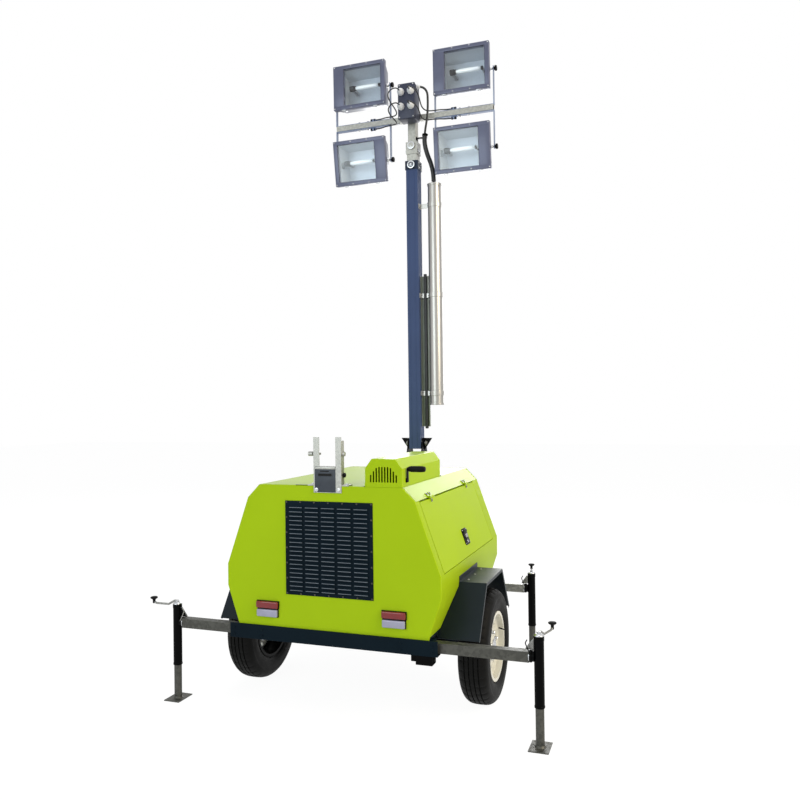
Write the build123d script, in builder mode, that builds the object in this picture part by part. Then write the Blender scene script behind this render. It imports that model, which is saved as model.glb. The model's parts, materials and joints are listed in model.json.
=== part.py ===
from build123d import *
import math
import os

# A towable light tower: a genset in a sloped enclosure on a two-wheel chassis, with four
# pull-out jack legs, and a telescoping mast that folds back over the roof into a cradle.
# Millimetres. X to the right, Y forwards to the drawbar, Z up. The origin is on the ground,
# under the middle of the overall length.

os.makedirs("parts", exist_ok=True)

# Overall length, from the enclosure's rear face to the coupler's nose
coupler_reach = 2610.0
rear_overhang = 25.0          # how far the rear feet stand out behind it
rear_y = -(coupler_reach - rear_overhang) / 2

# Enclosure: heights and half-widths of the cross-section's corners
body_length = 1356.0
bottom_z, band_low_z, band_high_z, shoulder_z, roof_z = 496.0, 720.0, 844.0, 1236.0, 1312.0
bottom_half, band_half, shoulder_half, roof_half = 575.0, 650.0, 511.0, 436.0
wall = 20.0
front_y = rear_y + body_length

# Doors, one on each sloped side
door_gap = 4.0
door_rear_margin = 75.0
door_front_margin = 136.0
door_bottom_rise = 4.0
door_top_drop = 9.0
knuckle_radius, knuckle_length, knuckle_gap = 8.0, 24.0, 0.5
hinge_pin_radius, hinge_pin_clearance = 4.0, 0.08
hinge_inset = 190.0
hinge_stand = 9.0             # from the hinge axis to the sloped face
leaf_thickness, leaf_length = 3.0, 30.0
latch_length, latch_width, latch_height = 95.0, 12.0, 100.0
latch_place = 655.0           # from the rear face to the latch's centre
latch_drop = 300.0            # down the slope from the hinge to the latch's centre

# Grille on the rear wall, with rows of pressed louvres
grille_width, grille_height, grille_plate = 534.0, 531.0, 3.0
grille_low_z = 693.0
grille_lap = 14.0
louvre_columns, louvre_rows = 5, 20
louvre_width, louvre_pitch_x, louvre_pitch_z = 82.0, 99.0, 24.6
louvre_rise, louvre_height, louvre_lip = 4.0, 16.0, 4.0
louvre_reach, louvre_sheet = 9.0, 2.0

# Roof hood over the exhaust outlet, with a stepped row of slots
hood_centre_x, hood_half, hood_top_half = 331.0, 107.5, 68.0
hood_side_z, hood_top_z = 1413.0, 1466.0
hood_length, hood_wall = 710.0, 4.0
hood_slot_heights = (40.0, 60.0, 78.0, 84.0, 84.0, 84.0, 84.0, 78.0, 60.0, 40.0)
hood_slot_width, hood_slot_pitch, hood_slot_low_z = 8.0, 16.5, 1338.0

# Hand crank on the hood's side
crank_place, crank_axis_z = 70.0, 1346.0
crank_arm, crank_grip_length, crank_grip_radius = 62.0, 100.0, 17.0
crank_bar, crank_bar_thickness = 26.0, 6.0

# Running gap of every tube, leg and beam that slides in its guide
slide_gap = 0.08

# Chassis
frame_height, frame_wall = 67.0, 5.0
frame_z = bottom_z - frame_height / 2
rail_inset, rail_width = 70.0, 50.0
rail_x = bottom_half - rail_inset
sleeve_half = bottom_half + 25.0
rear_sleeve_place, front_sleeve_gap = 45.0, 144.0     # forwards of the enclosure's two ends
rear_sleeve_y = rear_y + rear_sleeve_place
front_sleeve_y = front_y + front_sleeve_gap
channel_overhang, channel_sheet, channel_reach, channel_lap = 30.0, 6.0, 12.0, 9.0
channel_half = sleeve_half + channel_overhang
channel_top_z = bottom_z + channel_lap
cross_width = 50.0
cross_places = (330.0, 800.0, body_length - 116.0)     # from the rear face
drawbar_width = 80.0
brace_start_x, brace_width, brace_back = 430.0, 50.0, 280.0
coupler_width, coupler_height, coupler_length = 92.0, 78.0, 170.0
coupler_edge, coupler_lever_width = 8.0, 16.0
# The coupler's hand lever: distance from the ball, and height over the coupler's top
coupler_lever = (
    (-20.0, -10.0),
    (10.0, -10.0),
    (-40.0, 42.0),
    (-120.0, 52.0),
    (-120.0, 40.0),
    (-52.0, 30.0),
)
drawbar_end = coupler_reach - coupler_length
brace_end = drawbar_end - brace_back
coupler_bore_radius, coupler_bore_depth = 25.4, 22.0

# Axle, springs and wheels
axle_place = 567.0            # from the rear face
axle_y = rear_y + axle_place
tyre_radius, tyre_width, tyre_bead_radius = 332.0, 178.0, 190.5
rim_radius, rim_half, rim_sheet = 200.0, 76.0, 8.0
tyre_gap = 5.0                # from the band out to the tyre's inner face
wheel_x = band_half + tyre_gap + tyre_width / 2
axle_side, axle_reach = 60.0, 95.0
axle_half = rail_x + axle_reach
hub_radius, hub_inner, hub_outer = 55.0, -40.0, 44.0
spindle_radius, spindle_clearance = 30.0, 0.05
wheel_slot_count, wheel_slot_radius, wheel_slot_length = 8, 143.0, 62.0
wheel_slot_width, wheel_slot_corner = 24.0, 9.0
spring_half, spring_width, leaf_gauge, spring_rise = 330.0, 48.0, 8.0, 20.0
leaf_shares = (1.0, 0.68, 0.36)           # each leaf's half-length against the main one's
spring_eye_radius, spring_bolt_radius, spring_bolt_clearance = 15.0, 8.0, 0.05
hanger_thickness, hanger_length, hanger_lap = 8.0, 60.0, 30.0
u_bolt_radius, u_bolt_spread, spring_clamp = 6.0, 76.0, 8.0

# Mudguards
guard_setback = 21.0          # the tyre's outer face stands this far past the guard
guard_sheet, guard_lip, guard_flange = 4.0, 18.0, 30.0
guard_outer_x = wheel_x + tyre_width / 2 - guard_setback
guard_top_z, guard_low_z = 745.0, 470.0
guard_top_half, guard_low_half = 208.0, 400.0

# Outriggers
outrigger_table = (
    # name, side, sleeve Y, jack's distance from the centre line, crank angle from +X
    ("rear_left", -1, rear_sleeve_y, 1035.0, 180.0),
    ("rear_right", 1, rear_sleeve_y, 1155.0, 75.0),
    ("front_left", -1, front_sleeve_y, 860.0, 110.0),
    ("front_right", 1, front_sleeve_y, 860.0, 100.0),
)
beam_side, beam_wall, beam_length = 55.0, 4.0, 680.0
mount_length, mount_radius = 20.0, 32.0
jack_radius, jack_wall, jack_mouth, jack_low_z, jack_top_z = 27.5, 3.5, 20.0, 204.0, 570.0
leg_radius, leg_wall, leg_top_z = 22.5, 4.0, 366.0
foot_x, foot_y, foot_sheet = 105.0, 140.0, 6.0
crank_hub_radius, crank_hub_height, crank_rod = 12.0, 22.0, 5.0
crank_reach, crank_drop, crank_bend = 170.0, 24.0, 55.0
knob_radius, knob_stem_radius, knob_height, knob_taper = 23.0, 9.0, 42.0, 20.0

# Mast
mast_place = 70.0             # forwards of the front sleeve
mast_y = front_sleeve_y + mast_place
pivot_z, mast_base_z = 1475.0, 1435.0
outer_side, mast_wall, outer_top_z = 90.0, 5.0, 3521.0
head_side, head_top_z = 100.0, 3588.0
tube_gap = 2.0
middle_low_z, middle_top_z = 1502.0, 3730.0
collar_side, collar_low_z = 88.0, 3640.0
top_low_z, top_high_z = 1530.0, 3894.0
sheave_radius, sheave_width, sheave_pin = 29.0, 14.0, 9.0
pivot_radius, pivot_clearance, bush_radius = 12.5, 0.08, 20.0
cheek_gap, cheek_thickness = 6.0, 10.0
cheek_half, cheek_low_z, cheek_top_z, cheek_tip_half = 62.0, 1270.0, 1515.0, 28.0
column_side, column_wall, column_top_z = 102.0, 6.0, 1395.0
column_foot_x, column_foot_y, column_foot_sheet = 180.0, 200.0, 10.0
wing_reach, wing_low_z, wing_top_z, wing_sheet = 60.0, 1425.0, 1515.0, 8.0

# Cable tube beside the mast
cable_tube_x, cable_tube_radius, cable_tube_wall = 162.0, 50.0, 3.0
cable_tube_low_z, cable_tube_top_z = 1774.0, 3391.0
cable_cap_radius, cable_cap_height = 54.0, 14.0
clamp_places = (1830.0, 2560.0, 3230.0)
clamp_height, clamp_thickness, clamp_depth = 36.0, 4.0, 60.0

# Cradle on the rear edge of the roof
cradle_half, cradle_low_z, cradle_plate_z, cradle_post_z = 85.0, 1274.0, 1408.0, 1584.0
cradle_slot_gap, cradle_sheet, cradle_depth = 5.0, 6.0, 35.0
cradle_slot_length, cradle_slot_width, cradle_slot_drops = 65.0, 11.0, (24.0, 54.0)
cradle_bar_z, cradle_bar_thickness = 1420.0, 8.0
cradle_foot_half, cradle_foot_depth = 125.0, 60.0
cradle_pin_radius, cradle_ball_radius, cradle_pin_z = 6.0, 13.0, 1490.0

# Tail lamps on the rear wall
tail_x, tail_width, tail_depth = 385.0, 145.0, 22.0
tail_red_low_z, tail_red_height = 606.0, 42.0
tail_clear_low_z, tail_clear_height = 555.0, 40.0

# Light bar, junction box and lamps
bar_side, bar_wall, bar_half = 40.0, 3.0, 620.0
box_width, box_depth, box_height, box_low_z = 130.0, 120.0, 262.0, 3866.0
box_stand = 14.0              # the pad between the bar and the box
gland_radius, gland_length, gland_taper, box_corner = 24.0, 46.0, 10.0, 10.0
gland_spread_x, gland_spread_z, gland_z = 38.0, 54.0, 4010.0
lamp_x, lamp_offset = 400.0, 285.0
lamp_width, lamp_height, lamp_rim = 420.0, 335.0, 42.0
lamp_inset, lamp_back_width, lamp_back_height, lamp_depth = 16.0, 330.0, 240.0, 150.0
lamp_shell, lamp_front = 5.0, 95.0        # the front stands this far before the tilt axis
window_width, window_height, window_shift = 312.0, 288.0, 26.0
glass_thickness, glass_recess, glass_clearance, glass_ledge = 5.0, 6.0, 0.3, 6.0
bulb_radius, bulb_length, bulb_depth = 16.0, 200.0, 70.0
socket_radius, socket_length, socket_post, bulb_post_gap = 21.0, 46.0, 16.0, 20.0
lamp_corner = 8.0
yoke_gap, yoke_sheet, yoke_width, yoke_tip = 10.0, 5.0, 30.0, 16.0
trunnion_radius, trunnion_clearance = 9.0, 0.1
stub_sink, stub_reach = 12.0, 6.0         # into the housing's slope, and past the yoke
lamp_knob_radius, lamp_knob_height = 20.0, 16.0
lamp_table = (
    # name, side, up or down from the bar, tilt of the face towards the ground in degrees
    ("upper_left", -1, 1, 1.0),
    ("upper_right", 1, 1, 1.0),
    ("lower_left", -1, -1, 9.0),
    ("lower_right", 1, -1, 6.0),
)

# Cables at the mast's head, by the points that they run through, measured from the middle of
# the light bar. The lamps' cables are drawn for the right side.
mast_cable_radius, lamp_cable_radius = 8.0, 4.5
mast_cable_route = (
    (158.0, 0.0, -509.0), (158.0, 0.0, -440.0), (146.0, -16.0, -362.0), (120.0, -38.0, -288.0),
    (105.0, -54.0, -210.0), (114.0, -64.0, -130.0), (132.0, -70.0, -50.0), (141.0, -72.0, 30.0),
    (142.0, -73.0, 98.0), (141.0, -76.0, 150.0), (125.0, -85.0, 180.0), (97.0, -92.0, 196.0),
    (65.0, -92.0, 196.0),
)
upper_cable_route = (
    (38.0, -200.0, 150.0), (38.0, -232.0, 150.0), (52.0, -262.0, 143.0), (82.0, -272.0, 128.0),
    (108.0, -252.0, 108.0), (114.0, -210.0, 88.0), (108.0, -160.0, 68.0), (101.0, -108.0, 50.0),
    (104.0, -64.0, 39.0), (124.0, -34.0, 33.0), (164.0, -26.0, 31.0), (214.0, -20.0, 34.0),
    (262.0, 0.0, 35.0), (300.0, 0.0, 35.0),
)
lower_cable_route = (
    (38.0, -200.0, 42.0), (38.0, -232.0, 42.0), (54.0, -260.0, 36.0), (84.0, -268.0, 20.0),
    (108.0, -246.0, 0.0), (113.0, -204.0, -16.0), (107.0, -154.0, -28.0), (101.0, -104.0, -36.0),
    (105.0, -62.0, -38.0), (125.0, -34.0, -34.0), (165.0, -26.0, -32.0), (214.0, -20.0, -34.0),
    (262.0, 0.0, -35.0), (300.0, 0.0, -35.0),
)
# Connectors on the yokes' feet, where the lamps' cables end
connector_radius, connector_length, connector_x = 10.0, 40.0, 300.0

# Genset, one plain mass on the floor
engine_x, engine_y, engine_z, engine_place = 430.0, 760.0, 480.0, 640.0

bar_z = top_high_z + bar_side / 2
wide = 2 * band_half


def save(part, name):
    """Label a finished part and write it out."""
    part.label = name
    export_step(part, f"parts/{name}.step")


def across(y):
    """A drawing plane across the machine at y: X to the right, Z up, facing backwards."""
    return Plane(origin=(0, y, 0), x_dir=(1, 0, 0), z_dir=(0, -1, 0))


def along(x):
    """A drawing plane along the machine at x: Y to the right, Z up, facing right."""
    return Plane(origin=(x, 0, 0), x_dir=(0, 1, 0), z_dir=(1, 0, 0))


def upward(x, y, z):
    """A level drawing plane with its origin at a point."""
    return Plane(origin=(x, y, z))


def block(low, high, mode=Mode.ADD):
    """A box from its lowest to its highest corner, in the open part."""
    centre = tuple((high[i] + low[i]) / 2 for i in range(3))
    with Locations(centre):
        Box(*(abs(high[i] - low[i]) for i in range(3)), mode=mode)


def outline(points, mode=Mode.ADD):
    """A filled outline through points, in the open sketch."""
    Polygon(*points, align=None, mode=mode)


def square_ring(outer, thickness):
    """A square tube's section in the open sketch."""
    Rectangle(outer, outer)
    Rectangle(outer - 2 * thickness, outer - 2 * thickness, mode=Mode.SUBTRACT)


# Enclosure: floor, sides and roof are cut from one ring of wall
right_corners = (
    (bottom_half, bottom_z),
    (band_half, band_low_z),
    (band_half, band_high_z),
    (shoulder_half, shoulder_z),
    (roof_half, roof_z),
)
body_corners = right_corners + tuple((-x, z) for x, z in reversed(right_corners))

with BuildPart() as shell:
    with BuildSketch(across(front_y - wall)):
        outline(body_corners)
        offset(amount=-wall, kind=Kind.INTERSECTION, mode=Mode.SUBTRACT)
    extrude(amount=body_length - 2 * wall)

door_low_z = band_high_z + door_bottom_rise
door_high_z = shoulder_z - door_top_drop
door_rear_y = rear_y + door_rear_margin
door_front_y = front_y - door_front_margin

with BuildPart() as body_floor:
    add(shell.part)
    block((-wide, rear_y, bottom_z), (wide, front_y, bottom_z + wall), Mode.INTERSECT)
save(body_floor.part, "body_floor")

with BuildPart() as body_sides:
    add(shell.part)
    block((-wide, rear_y, bottom_z + wall), (wide, front_y, shoulder_z), Mode.INTERSECT)
    block(
        (-wide, door_rear_y - door_gap, door_low_z - door_gap),
        (wide, door_front_y + door_gap, shoulder_z),
        Mode.SUBTRACT,
    )
save(body_sides.part, "body_sides")

# The hinge axis lies just outside the slope, at the shoulder
slope = math.atan2(band_half - shoulder_half, shoulder_z - band_high_z)
chamfer = math.atan2(roof_z - shoulder_z, shoulder_half - roof_half)
slope_out, slope_down = (math.cos(slope), math.sin(slope)), (math.sin(slope), -math.cos(slope))
chamfer_out, chamfer_up = (math.sin(chamfer), math.cos(chamfer)), (-math.cos(chamfer), math.sin(chamfer))
hinge_x = shoulder_half + hinge_stand * slope_out[0]
hinge_z = shoulder_z + hinge_stand * slope_out[1]
hinge_places = (door_rear_y + hinge_inset, door_front_y - hinge_inset)


def along_face(direction, distance):
    """A point on the enclosure's section, a distance from the shoulder."""
    return (shoulder_half + direction[0] * distance, shoulder_z + direction[1] * distance)


def knuckle(side, centre_y, length, direction, outward):
    """One hinge knuckle and the leaf that runs from it along a face of the enclosure."""
    start = along_face(direction, leaf_thickness)
    foot = along_face(direction, leaf_length)
    foot_top = (foot[0] + outward[0] * leaf_thickness, foot[1] + outward[1] * leaf_thickness)
    with BuildSketch(across(centre_y + length / 2)) as section:
        outline([(side * x, z) for x, z in (start, (hinge_x, hinge_z), foot_top, foot)])
        with Locations((side * hinge_x, hinge_z)):
            Circle(knuckle_radius)
    extrude(section.sketch, amount=length)


def hinge_bar(side, centre_y, radius, length, mode):
    """A round bar or bore on the hinge axis."""
    with BuildSketch(across(centre_y + length / 2)) as section:
        with Locations((side * hinge_x, hinge_z)):
            Circle(radius)
    extrude(section.sketch, amount=length, mode=mode)


with BuildPart() as body_roof:
    add(shell.part)
    block((-wide, rear_y, shoulder_z), (wide, front_y, roof_z + wall), Mode.INTERSECT)
    for side in (-1, 1):
        for y in hinge_places:
            for step in (-knuckle_length, knuckle_length):
                knuckle(side, y + step, knuckle_length, chamfer_up, chamfer_out)
            hinge_bar(side, y, hinge_pin_radius, 2 * knuckle_length, Mode.ADD)
save(body_roof.part, "body_roof")

for side, name in ((-1, "door_left"), (1, "door_right")):
    near, far = sorted((side * wall, side * wide))
    with BuildPart() as door:
        add(shell.part)
        block((near, door_rear_y, door_low_z), (far, door_front_y, door_high_z), Mode.INTERSECT)
        for y in hinge_places:
            length = knuckle_length - 2 * knuckle_gap
            knuckle(side, y, length, slope_down, slope_out)
            hinge_bar(side, y, hinge_pin_radius + hinge_pin_clearance, length, Mode.SUBTRACT)
    save(door.part, name)

# Paddle latches, on the doors' outer faces
for side, name in ((-1, "latch_left"), (1, "latch_right")):
    face_point = along_face(slope_down, latch_drop)
    face = Plane(
        origin=(side * face_point[0], rear_y + latch_place, face_point[1]),
        x_dir=(0, 1, 0),
        z_dir=(side * slope_out[0], 0, slope_out[1]),
    )
    with BuildPart() as latch:
        with BuildSketch(face):
            RectangleRounded(latch_length, latch_height, latch_width)
        extrude(amount=latch_width / 2)
        with BuildSketch(face.offset(latch_width / 2)):
            Rectangle(latch_length - 2 * latch_width, latch_height - 2 * latch_width)
        extrude(amount=latch_width / 2, taper=30)
    save(latch.part, name)

# Rear wall, open behind the grille, and the plain front wall
with BuildPart() as body_rear:
    with BuildSketch(across(rear_y + wall)):
        outline(body_corners)
        with Locations((0, grille_low_z + grille_height / 2)):
            Rectangle(
                grille_width - 2 * grille_lap,
                grille_height - 2 * grille_lap,
                mode=Mode.SUBTRACT,
            )
    extrude(amount=wall)
save(body_rear.part, "body_rear")

with BuildPart() as body_front:
    with BuildSketch(across(front_y)):
        outline(body_corners)
    extrude(amount=wall)
save(body_front.part, "body_front")

# Grille: a plate with columns of pressed louvres, each open at its lower edge
grille_mid_z = grille_low_z + grille_height / 2
plate_y = rear_y - grille_plate
with BuildPart() as grille:
    with BuildSketch(across(rear_y)):
        with Locations((0, grille_mid_z)):
            Rectangle(grille_width, grille_height)
    extrude(amount=grille_plate)
    for column in range(louvre_columns):
        middle_x = (column - (louvre_columns - 1) / 2) * louvre_pitch_x
        with BuildSketch(along(middle_x - louvre_width / 2)):
            for row in range(louvre_rows):
                low_z = grille_mid_z + (row - louvre_rows / 2) * louvre_pitch_z + louvre_rise
                outline([
                    (plate_y, low_z),
                    (plate_y - louvre_reach, low_z),
                    (plate_y - louvre_reach, low_z + louvre_lip),
                    (plate_y, low_z + louvre_height),
                ])
        extrude(amount=louvre_width)
        with BuildSketch(along(middle_x - louvre_width / 2 + louvre_sheet)):
            for row in range(louvre_rows):
                low_z = grille_mid_z + (row - louvre_rows / 2) * louvre_pitch_z + louvre_rise
                outline([
                    (rear_y, low_z),
                    (plate_y - louvre_reach + louvre_sheet, low_z),
                    (plate_y - louvre_reach + louvre_sheet, low_z + louvre_lip - louvre_sheet / 2),
                    (plate_y, low_z + louvre_height - 1.5 * louvre_sheet),
                    (rear_y, low_z + louvre_height - 1.5 * louvre_sheet),
                ])
        extrude(amount=louvre_width - 2 * louvre_sheet, mode=Mode.SUBTRACT)
save(grille.part, "grille")

# Roof hood, open underneath, with its slots in the rear end
hood_section = (
    (-hood_half, roof_z),
    (-hood_half, hood_side_z),
    (-hood_top_half, hood_top_z),
    (hood_top_half, hood_top_z),
    (hood_half, hood_side_z),
    (hood_half, roof_z),
)
with BuildPart() as roof_hood:
    with BuildSketch(across(rear_y + hood_length)):
        outline([(hood_centre_x + x, z) for x, z in hood_section])
    extrude(amount=hood_length)
    offset(amount=-hood_wall, openings=roof_hood.faces().sort_by(Axis.Z)[0])
    with BuildSketch(across(rear_y + hood_wall)):
        for index, height in enumerate(hood_slot_heights):
            x = (index - (len(hood_slot_heights) - 1) / 2) * hood_slot_pitch
            with Locations((hood_centre_x + x, hood_slot_low_z + height / 2)):
                Rectangle(hood_slot_width, height)
    extrude(amount=hood_wall, mode=Mode.SUBTRACT)
save(roof_hood.part, "roof_hood")

# Hand crank on the hood's outer side
hood_side_x = hood_centre_x + hood_half
with BuildPart() as winch_crank:
    with BuildSketch(along(hood_side_x)):
        with Locations((rear_y + crank_place, crank_axis_z)):
            Circle(crank_bar / 2)
    extrude(amount=crank_bar_thickness)
    with BuildSketch(along(hood_side_x + crank_bar_thickness)):
        with Locations((rear_y + crank_place, crank_axis_z + crank_arm / 2)):
            SlotOverall(crank_arm + crank_bar, crank_bar, rotation=90)
    extrude(amount=crank_bar_thickness)
    with BuildSketch(along(hood_side_x + 2 * crank_bar_thickness)):
        with Locations((rear_y + crank_place, crank_axis_z + crank_arm)):
            Circle(crank_grip_radius)
    extrude(amount=crank_grip_length)
save(winch_crank.part, "winch_crank")

# Chassis rails with the spring hangers
rail_rear_y = rear_sleeve_y + frame_height / 2
rail_front_y = front_sleeve_y - frame_height / 2
rail_low_z = bottom_z - frame_height
leaf_stack_z = tyre_radius + axle_side / 2 + leaf_gauge * (len(leaf_shares) - 1)
eye_z = leaf_stack_z + spring_rise + leaf_gauge
with BuildPart() as frame_rails:
    for side in (-1, 1):
        with BuildSketch(across(rail_front_y)):
            with Locations((side * rail_x, frame_z)):
                Rectangle(rail_width, frame_height)
                Rectangle(rail_width - 2 * frame_wall, frame_height - 2 * frame_wall, mode=Mode.SUBTRACT)
        extrude(amount=rail_front_y - rail_rear_y)
        for end in (-1, 1):
            hanger_y = axle_y + end * spring_half
            for face in (-1, 1):
                inner_x = side * rail_x + face * rail_width / 2
                outer_x = inner_x + face * hanger_thickness
                low_x, high_x = sorted((inner_x, outer_x))
                block(
                    (low_x, hanger_y - hanger_length / 2, eye_z - spring_eye_radius),
                    (high_x, hanger_y + hanger_length / 2, rail_low_z + hanger_lap),
                )
            with BuildSketch(along(side * rail_x - rail_width / 2 - hanger_thickness)):
                with Locations((hanger_y, eye_z)):
                    Circle(spring_bolt_radius)
            extrude(amount=rail_width + 2 * hanger_thickness)
save(frame_rails.part, "frame_rails")

# Crossmembers between the rails, and the drawbar's side braces
cross_half = rail_x - rail_width / 2
nose_start = front_sleeve_y + frame_height / 2
with BuildPart() as frame_cross:
    for place in cross_places:
        with BuildSketch(along(-cross_half)):
            with Locations((rear_y + place, frame_z)):
                Rectangle(cross_width, frame_height)
                Rectangle(cross_width - 2 * frame_wall, frame_height - 2 * frame_wall, mode=Mode.SUBTRACT)
        extrude(amount=2 * cross_half)
    for side in (-1, 1):
        with BuildSketch(upward(0, 0, rail_low_z)):
            outline([
                (side * (brace_start_x + brace_width / 2), nose_start),
                (side * (brace_start_x - brace_width / 2), nose_start),
                (side * drawbar_width / 2, rear_y + brace_end - 1.6 * brace_width),
                (side * drawbar_width / 2, rear_y + brace_end),
            ])
        extrude(amount=frame_height)
save(frame_cross.part, "frame_cross")

# Square sleeves across the chassis, which the outrigger beams slide in
with BuildPart() as outrigger_sleeves:
    for y in (rear_sleeve_y, front_sleeve_y):
        with BuildSketch(along(-sleeve_half)):
            with Locations((y, frame_z)):
                square_ring(frame_height, (frame_height - beam_side) / 2 - slide_gap)
        extrude(amount=2 * sleeve_half)
save(outrigger_sleeves.part, "outrigger_sleeves")

# Pressed channel across the rear, over the rear sleeve
channel_low_z = rail_low_z - channel_sheet
channel_rear_y = rear_y - channel_reach
with BuildPart() as rear_channel:
    with BuildSketch(along(-channel_half)):
        outline([
            (channel_rear_y, channel_low_z),
            (rear_sleeve_y, channel_low_z),
            (rear_sleeve_y, channel_low_z + channel_sheet),
            (channel_rear_y + channel_sheet, channel_low_z + channel_sheet),
            (channel_rear_y + channel_sheet, channel_top_z - channel_sheet),
            (rear_y, channel_top_z - channel_sheet),
            (rear_y, channel_top_z),
            (channel_rear_y, channel_top_z),
        ])
    extrude(amount=2 * channel_half)
save(rear_channel.part, "rear_channel")

# Drawbar and coupler
with BuildPart() as drawbar:
    with BuildSketch(across(rear_y + drawbar_end)):
        with Locations((0, frame_z)):
            Rectangle(drawbar_width, frame_height)
            Rectangle(drawbar_width - 2 * frame_wall, frame_height - 2 * frame_wall, mode=Mode.SUBTRACT)
    extrude(amount=rear_y + drawbar_end - nose_start)
save(drawbar.part, "drawbar")

ball_y = rear_y + coupler_reach - coupler_width / 2
coupler_low_z = frame_z - coupler_height / 2
with BuildPart() as coupler:
    with BuildSketch(upward(0, 0, coupler_low_z)):
        outline([
            (-drawbar_width / 2, rear_y + drawbar_end),
            (drawbar_width / 2, rear_y + drawbar_end),
            (coupler_width / 2, ball_y),
            (-coupler_width / 2, ball_y),
        ])
        with Locations((0, ball_y)):
            Circle(coupler_width / 2)
    extrude(amount=coupler_height)
    fillet(coupler.faces().sort_by(Axis.Z)[-1].edges(), coupler_edge)
    with BuildSketch(upward(0, ball_y, coupler_low_z)):
        Circle(coupler_bore_radius)
    extrude(amount=coupler_bore_depth, mode=Mode.SUBTRACT)
    with BuildSketch(along(-coupler_lever_width / 2)):
        outline([(ball_y + y, coupler_low_z + coupler_height + z) for y, z in coupler_lever])
    extrude(amount=coupler_lever_width)
save(coupler.part, "coupler")

# Axle with its spindles, leaf springs and U-bolts
with BuildPart() as axle:
    block(
        (-axle_half, axle_y - axle_side / 2, tyre_radius - axle_side / 2),
        (axle_half, axle_y + axle_side / 2, tyre_radius + axle_side / 2),
    )
    spindle_tip = wheel_x + hub_outer - 2 * rim_sheet
    with BuildSketch(along(-spindle_tip)):
        with Locations((axle_y, tyre_radius)):
            Circle(spindle_radius)
    extrude(amount=2 * spindle_tip)
    for side in (-1, 1):
        for index, share in enumerate(leaf_shares):
            half = spring_half * share
            low_z = leaf_stack_z - index * leaf_gauge
            rise = spring_rise * share * share
            with BuildSketch(along(side * rail_x - spring_width / 2)):
                with BuildLine():
                    ThreePointArc(
                        (axle_y - half, low_z + rise), (axle_y, low_z), (axle_y + half, low_z + rise)
                    )
                    ThreePointArc(
                        (axle_y - half, low_z + rise + leaf_gauge),
                        (axle_y, low_z + leaf_gauge),
                        (axle_y + half, low_z + rise + leaf_gauge),
                    )
                    for end in (-half, half):
                        Line(
                            (axle_y + end, low_z + rise),
                            (axle_y + end, low_z + rise + leaf_gauge),
                        )
                make_face()
                if index == 0:
                    with Locations((axle_y - half, eye_z), (axle_y + half, eye_z)):
                        Circle(spring_eye_radius)
                        Circle(spring_bolt_radius + spring_bolt_clearance, mode=Mode.SUBTRACT)
            extrude(amount=spring_width)
        clamp_low_z = leaf_stack_z + leaf_gauge - 1
        block(
            (side * rail_x - u_bolt_spread / 2, axle_y - u_bolt_spread / 2, clamp_low_z),
            (side * rail_x + u_bolt_spread / 2, axle_y + u_bolt_spread / 2, clamp_low_z + spring_clamp),
        )
        bolt_low_z = tyre_radius - axle_side / 2 - spring_clamp
        block(
            (side * rail_x - u_bolt_spread / 2, axle_y - u_bolt_spread / 2, bolt_low_z),
            (side * rail_x + u_bolt_spread / 2, axle_y + u_bolt_spread / 2, bolt_low_z + spring_clamp),
        )
        with BuildSketch(upward(side * rail_x, axle_y, bolt_low_z)):
            with GridLocations(
                u_bolt_spread - 2 * u_bolt_radius, u_bolt_spread - 2 * u_bolt_radius, 2, 2
            ):
                Circle(u_bolt_radius)
        extrude(amount=clamp_low_z + spring_clamp - bolt_low_z)
save(axle.part, "axle")

# Wheels: each rim turns on its spindle, and the tyre sits on the rim
tyre_half = tyre_width / 2
bead_half = rim_half - rim_sheet
disc_sheet = 6.0
# The wheel disc's section, its rear and then its outer side
disc_section = (
    (34.0, tyre_bead_radius - rim_sheet),
    (22.0, wheel_slot_radius + 8),
    (hub_outer - disc_sheet, 96.0),
    (hub_outer - disc_sheet, hub_radius - 4),
    (hub_outer, hub_radius - 4),
    (hub_outer, 98.0),
    (30.0, wheel_slot_radius + 8),
    (42.0, tyre_bead_radius - rim_sheet),
)
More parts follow.
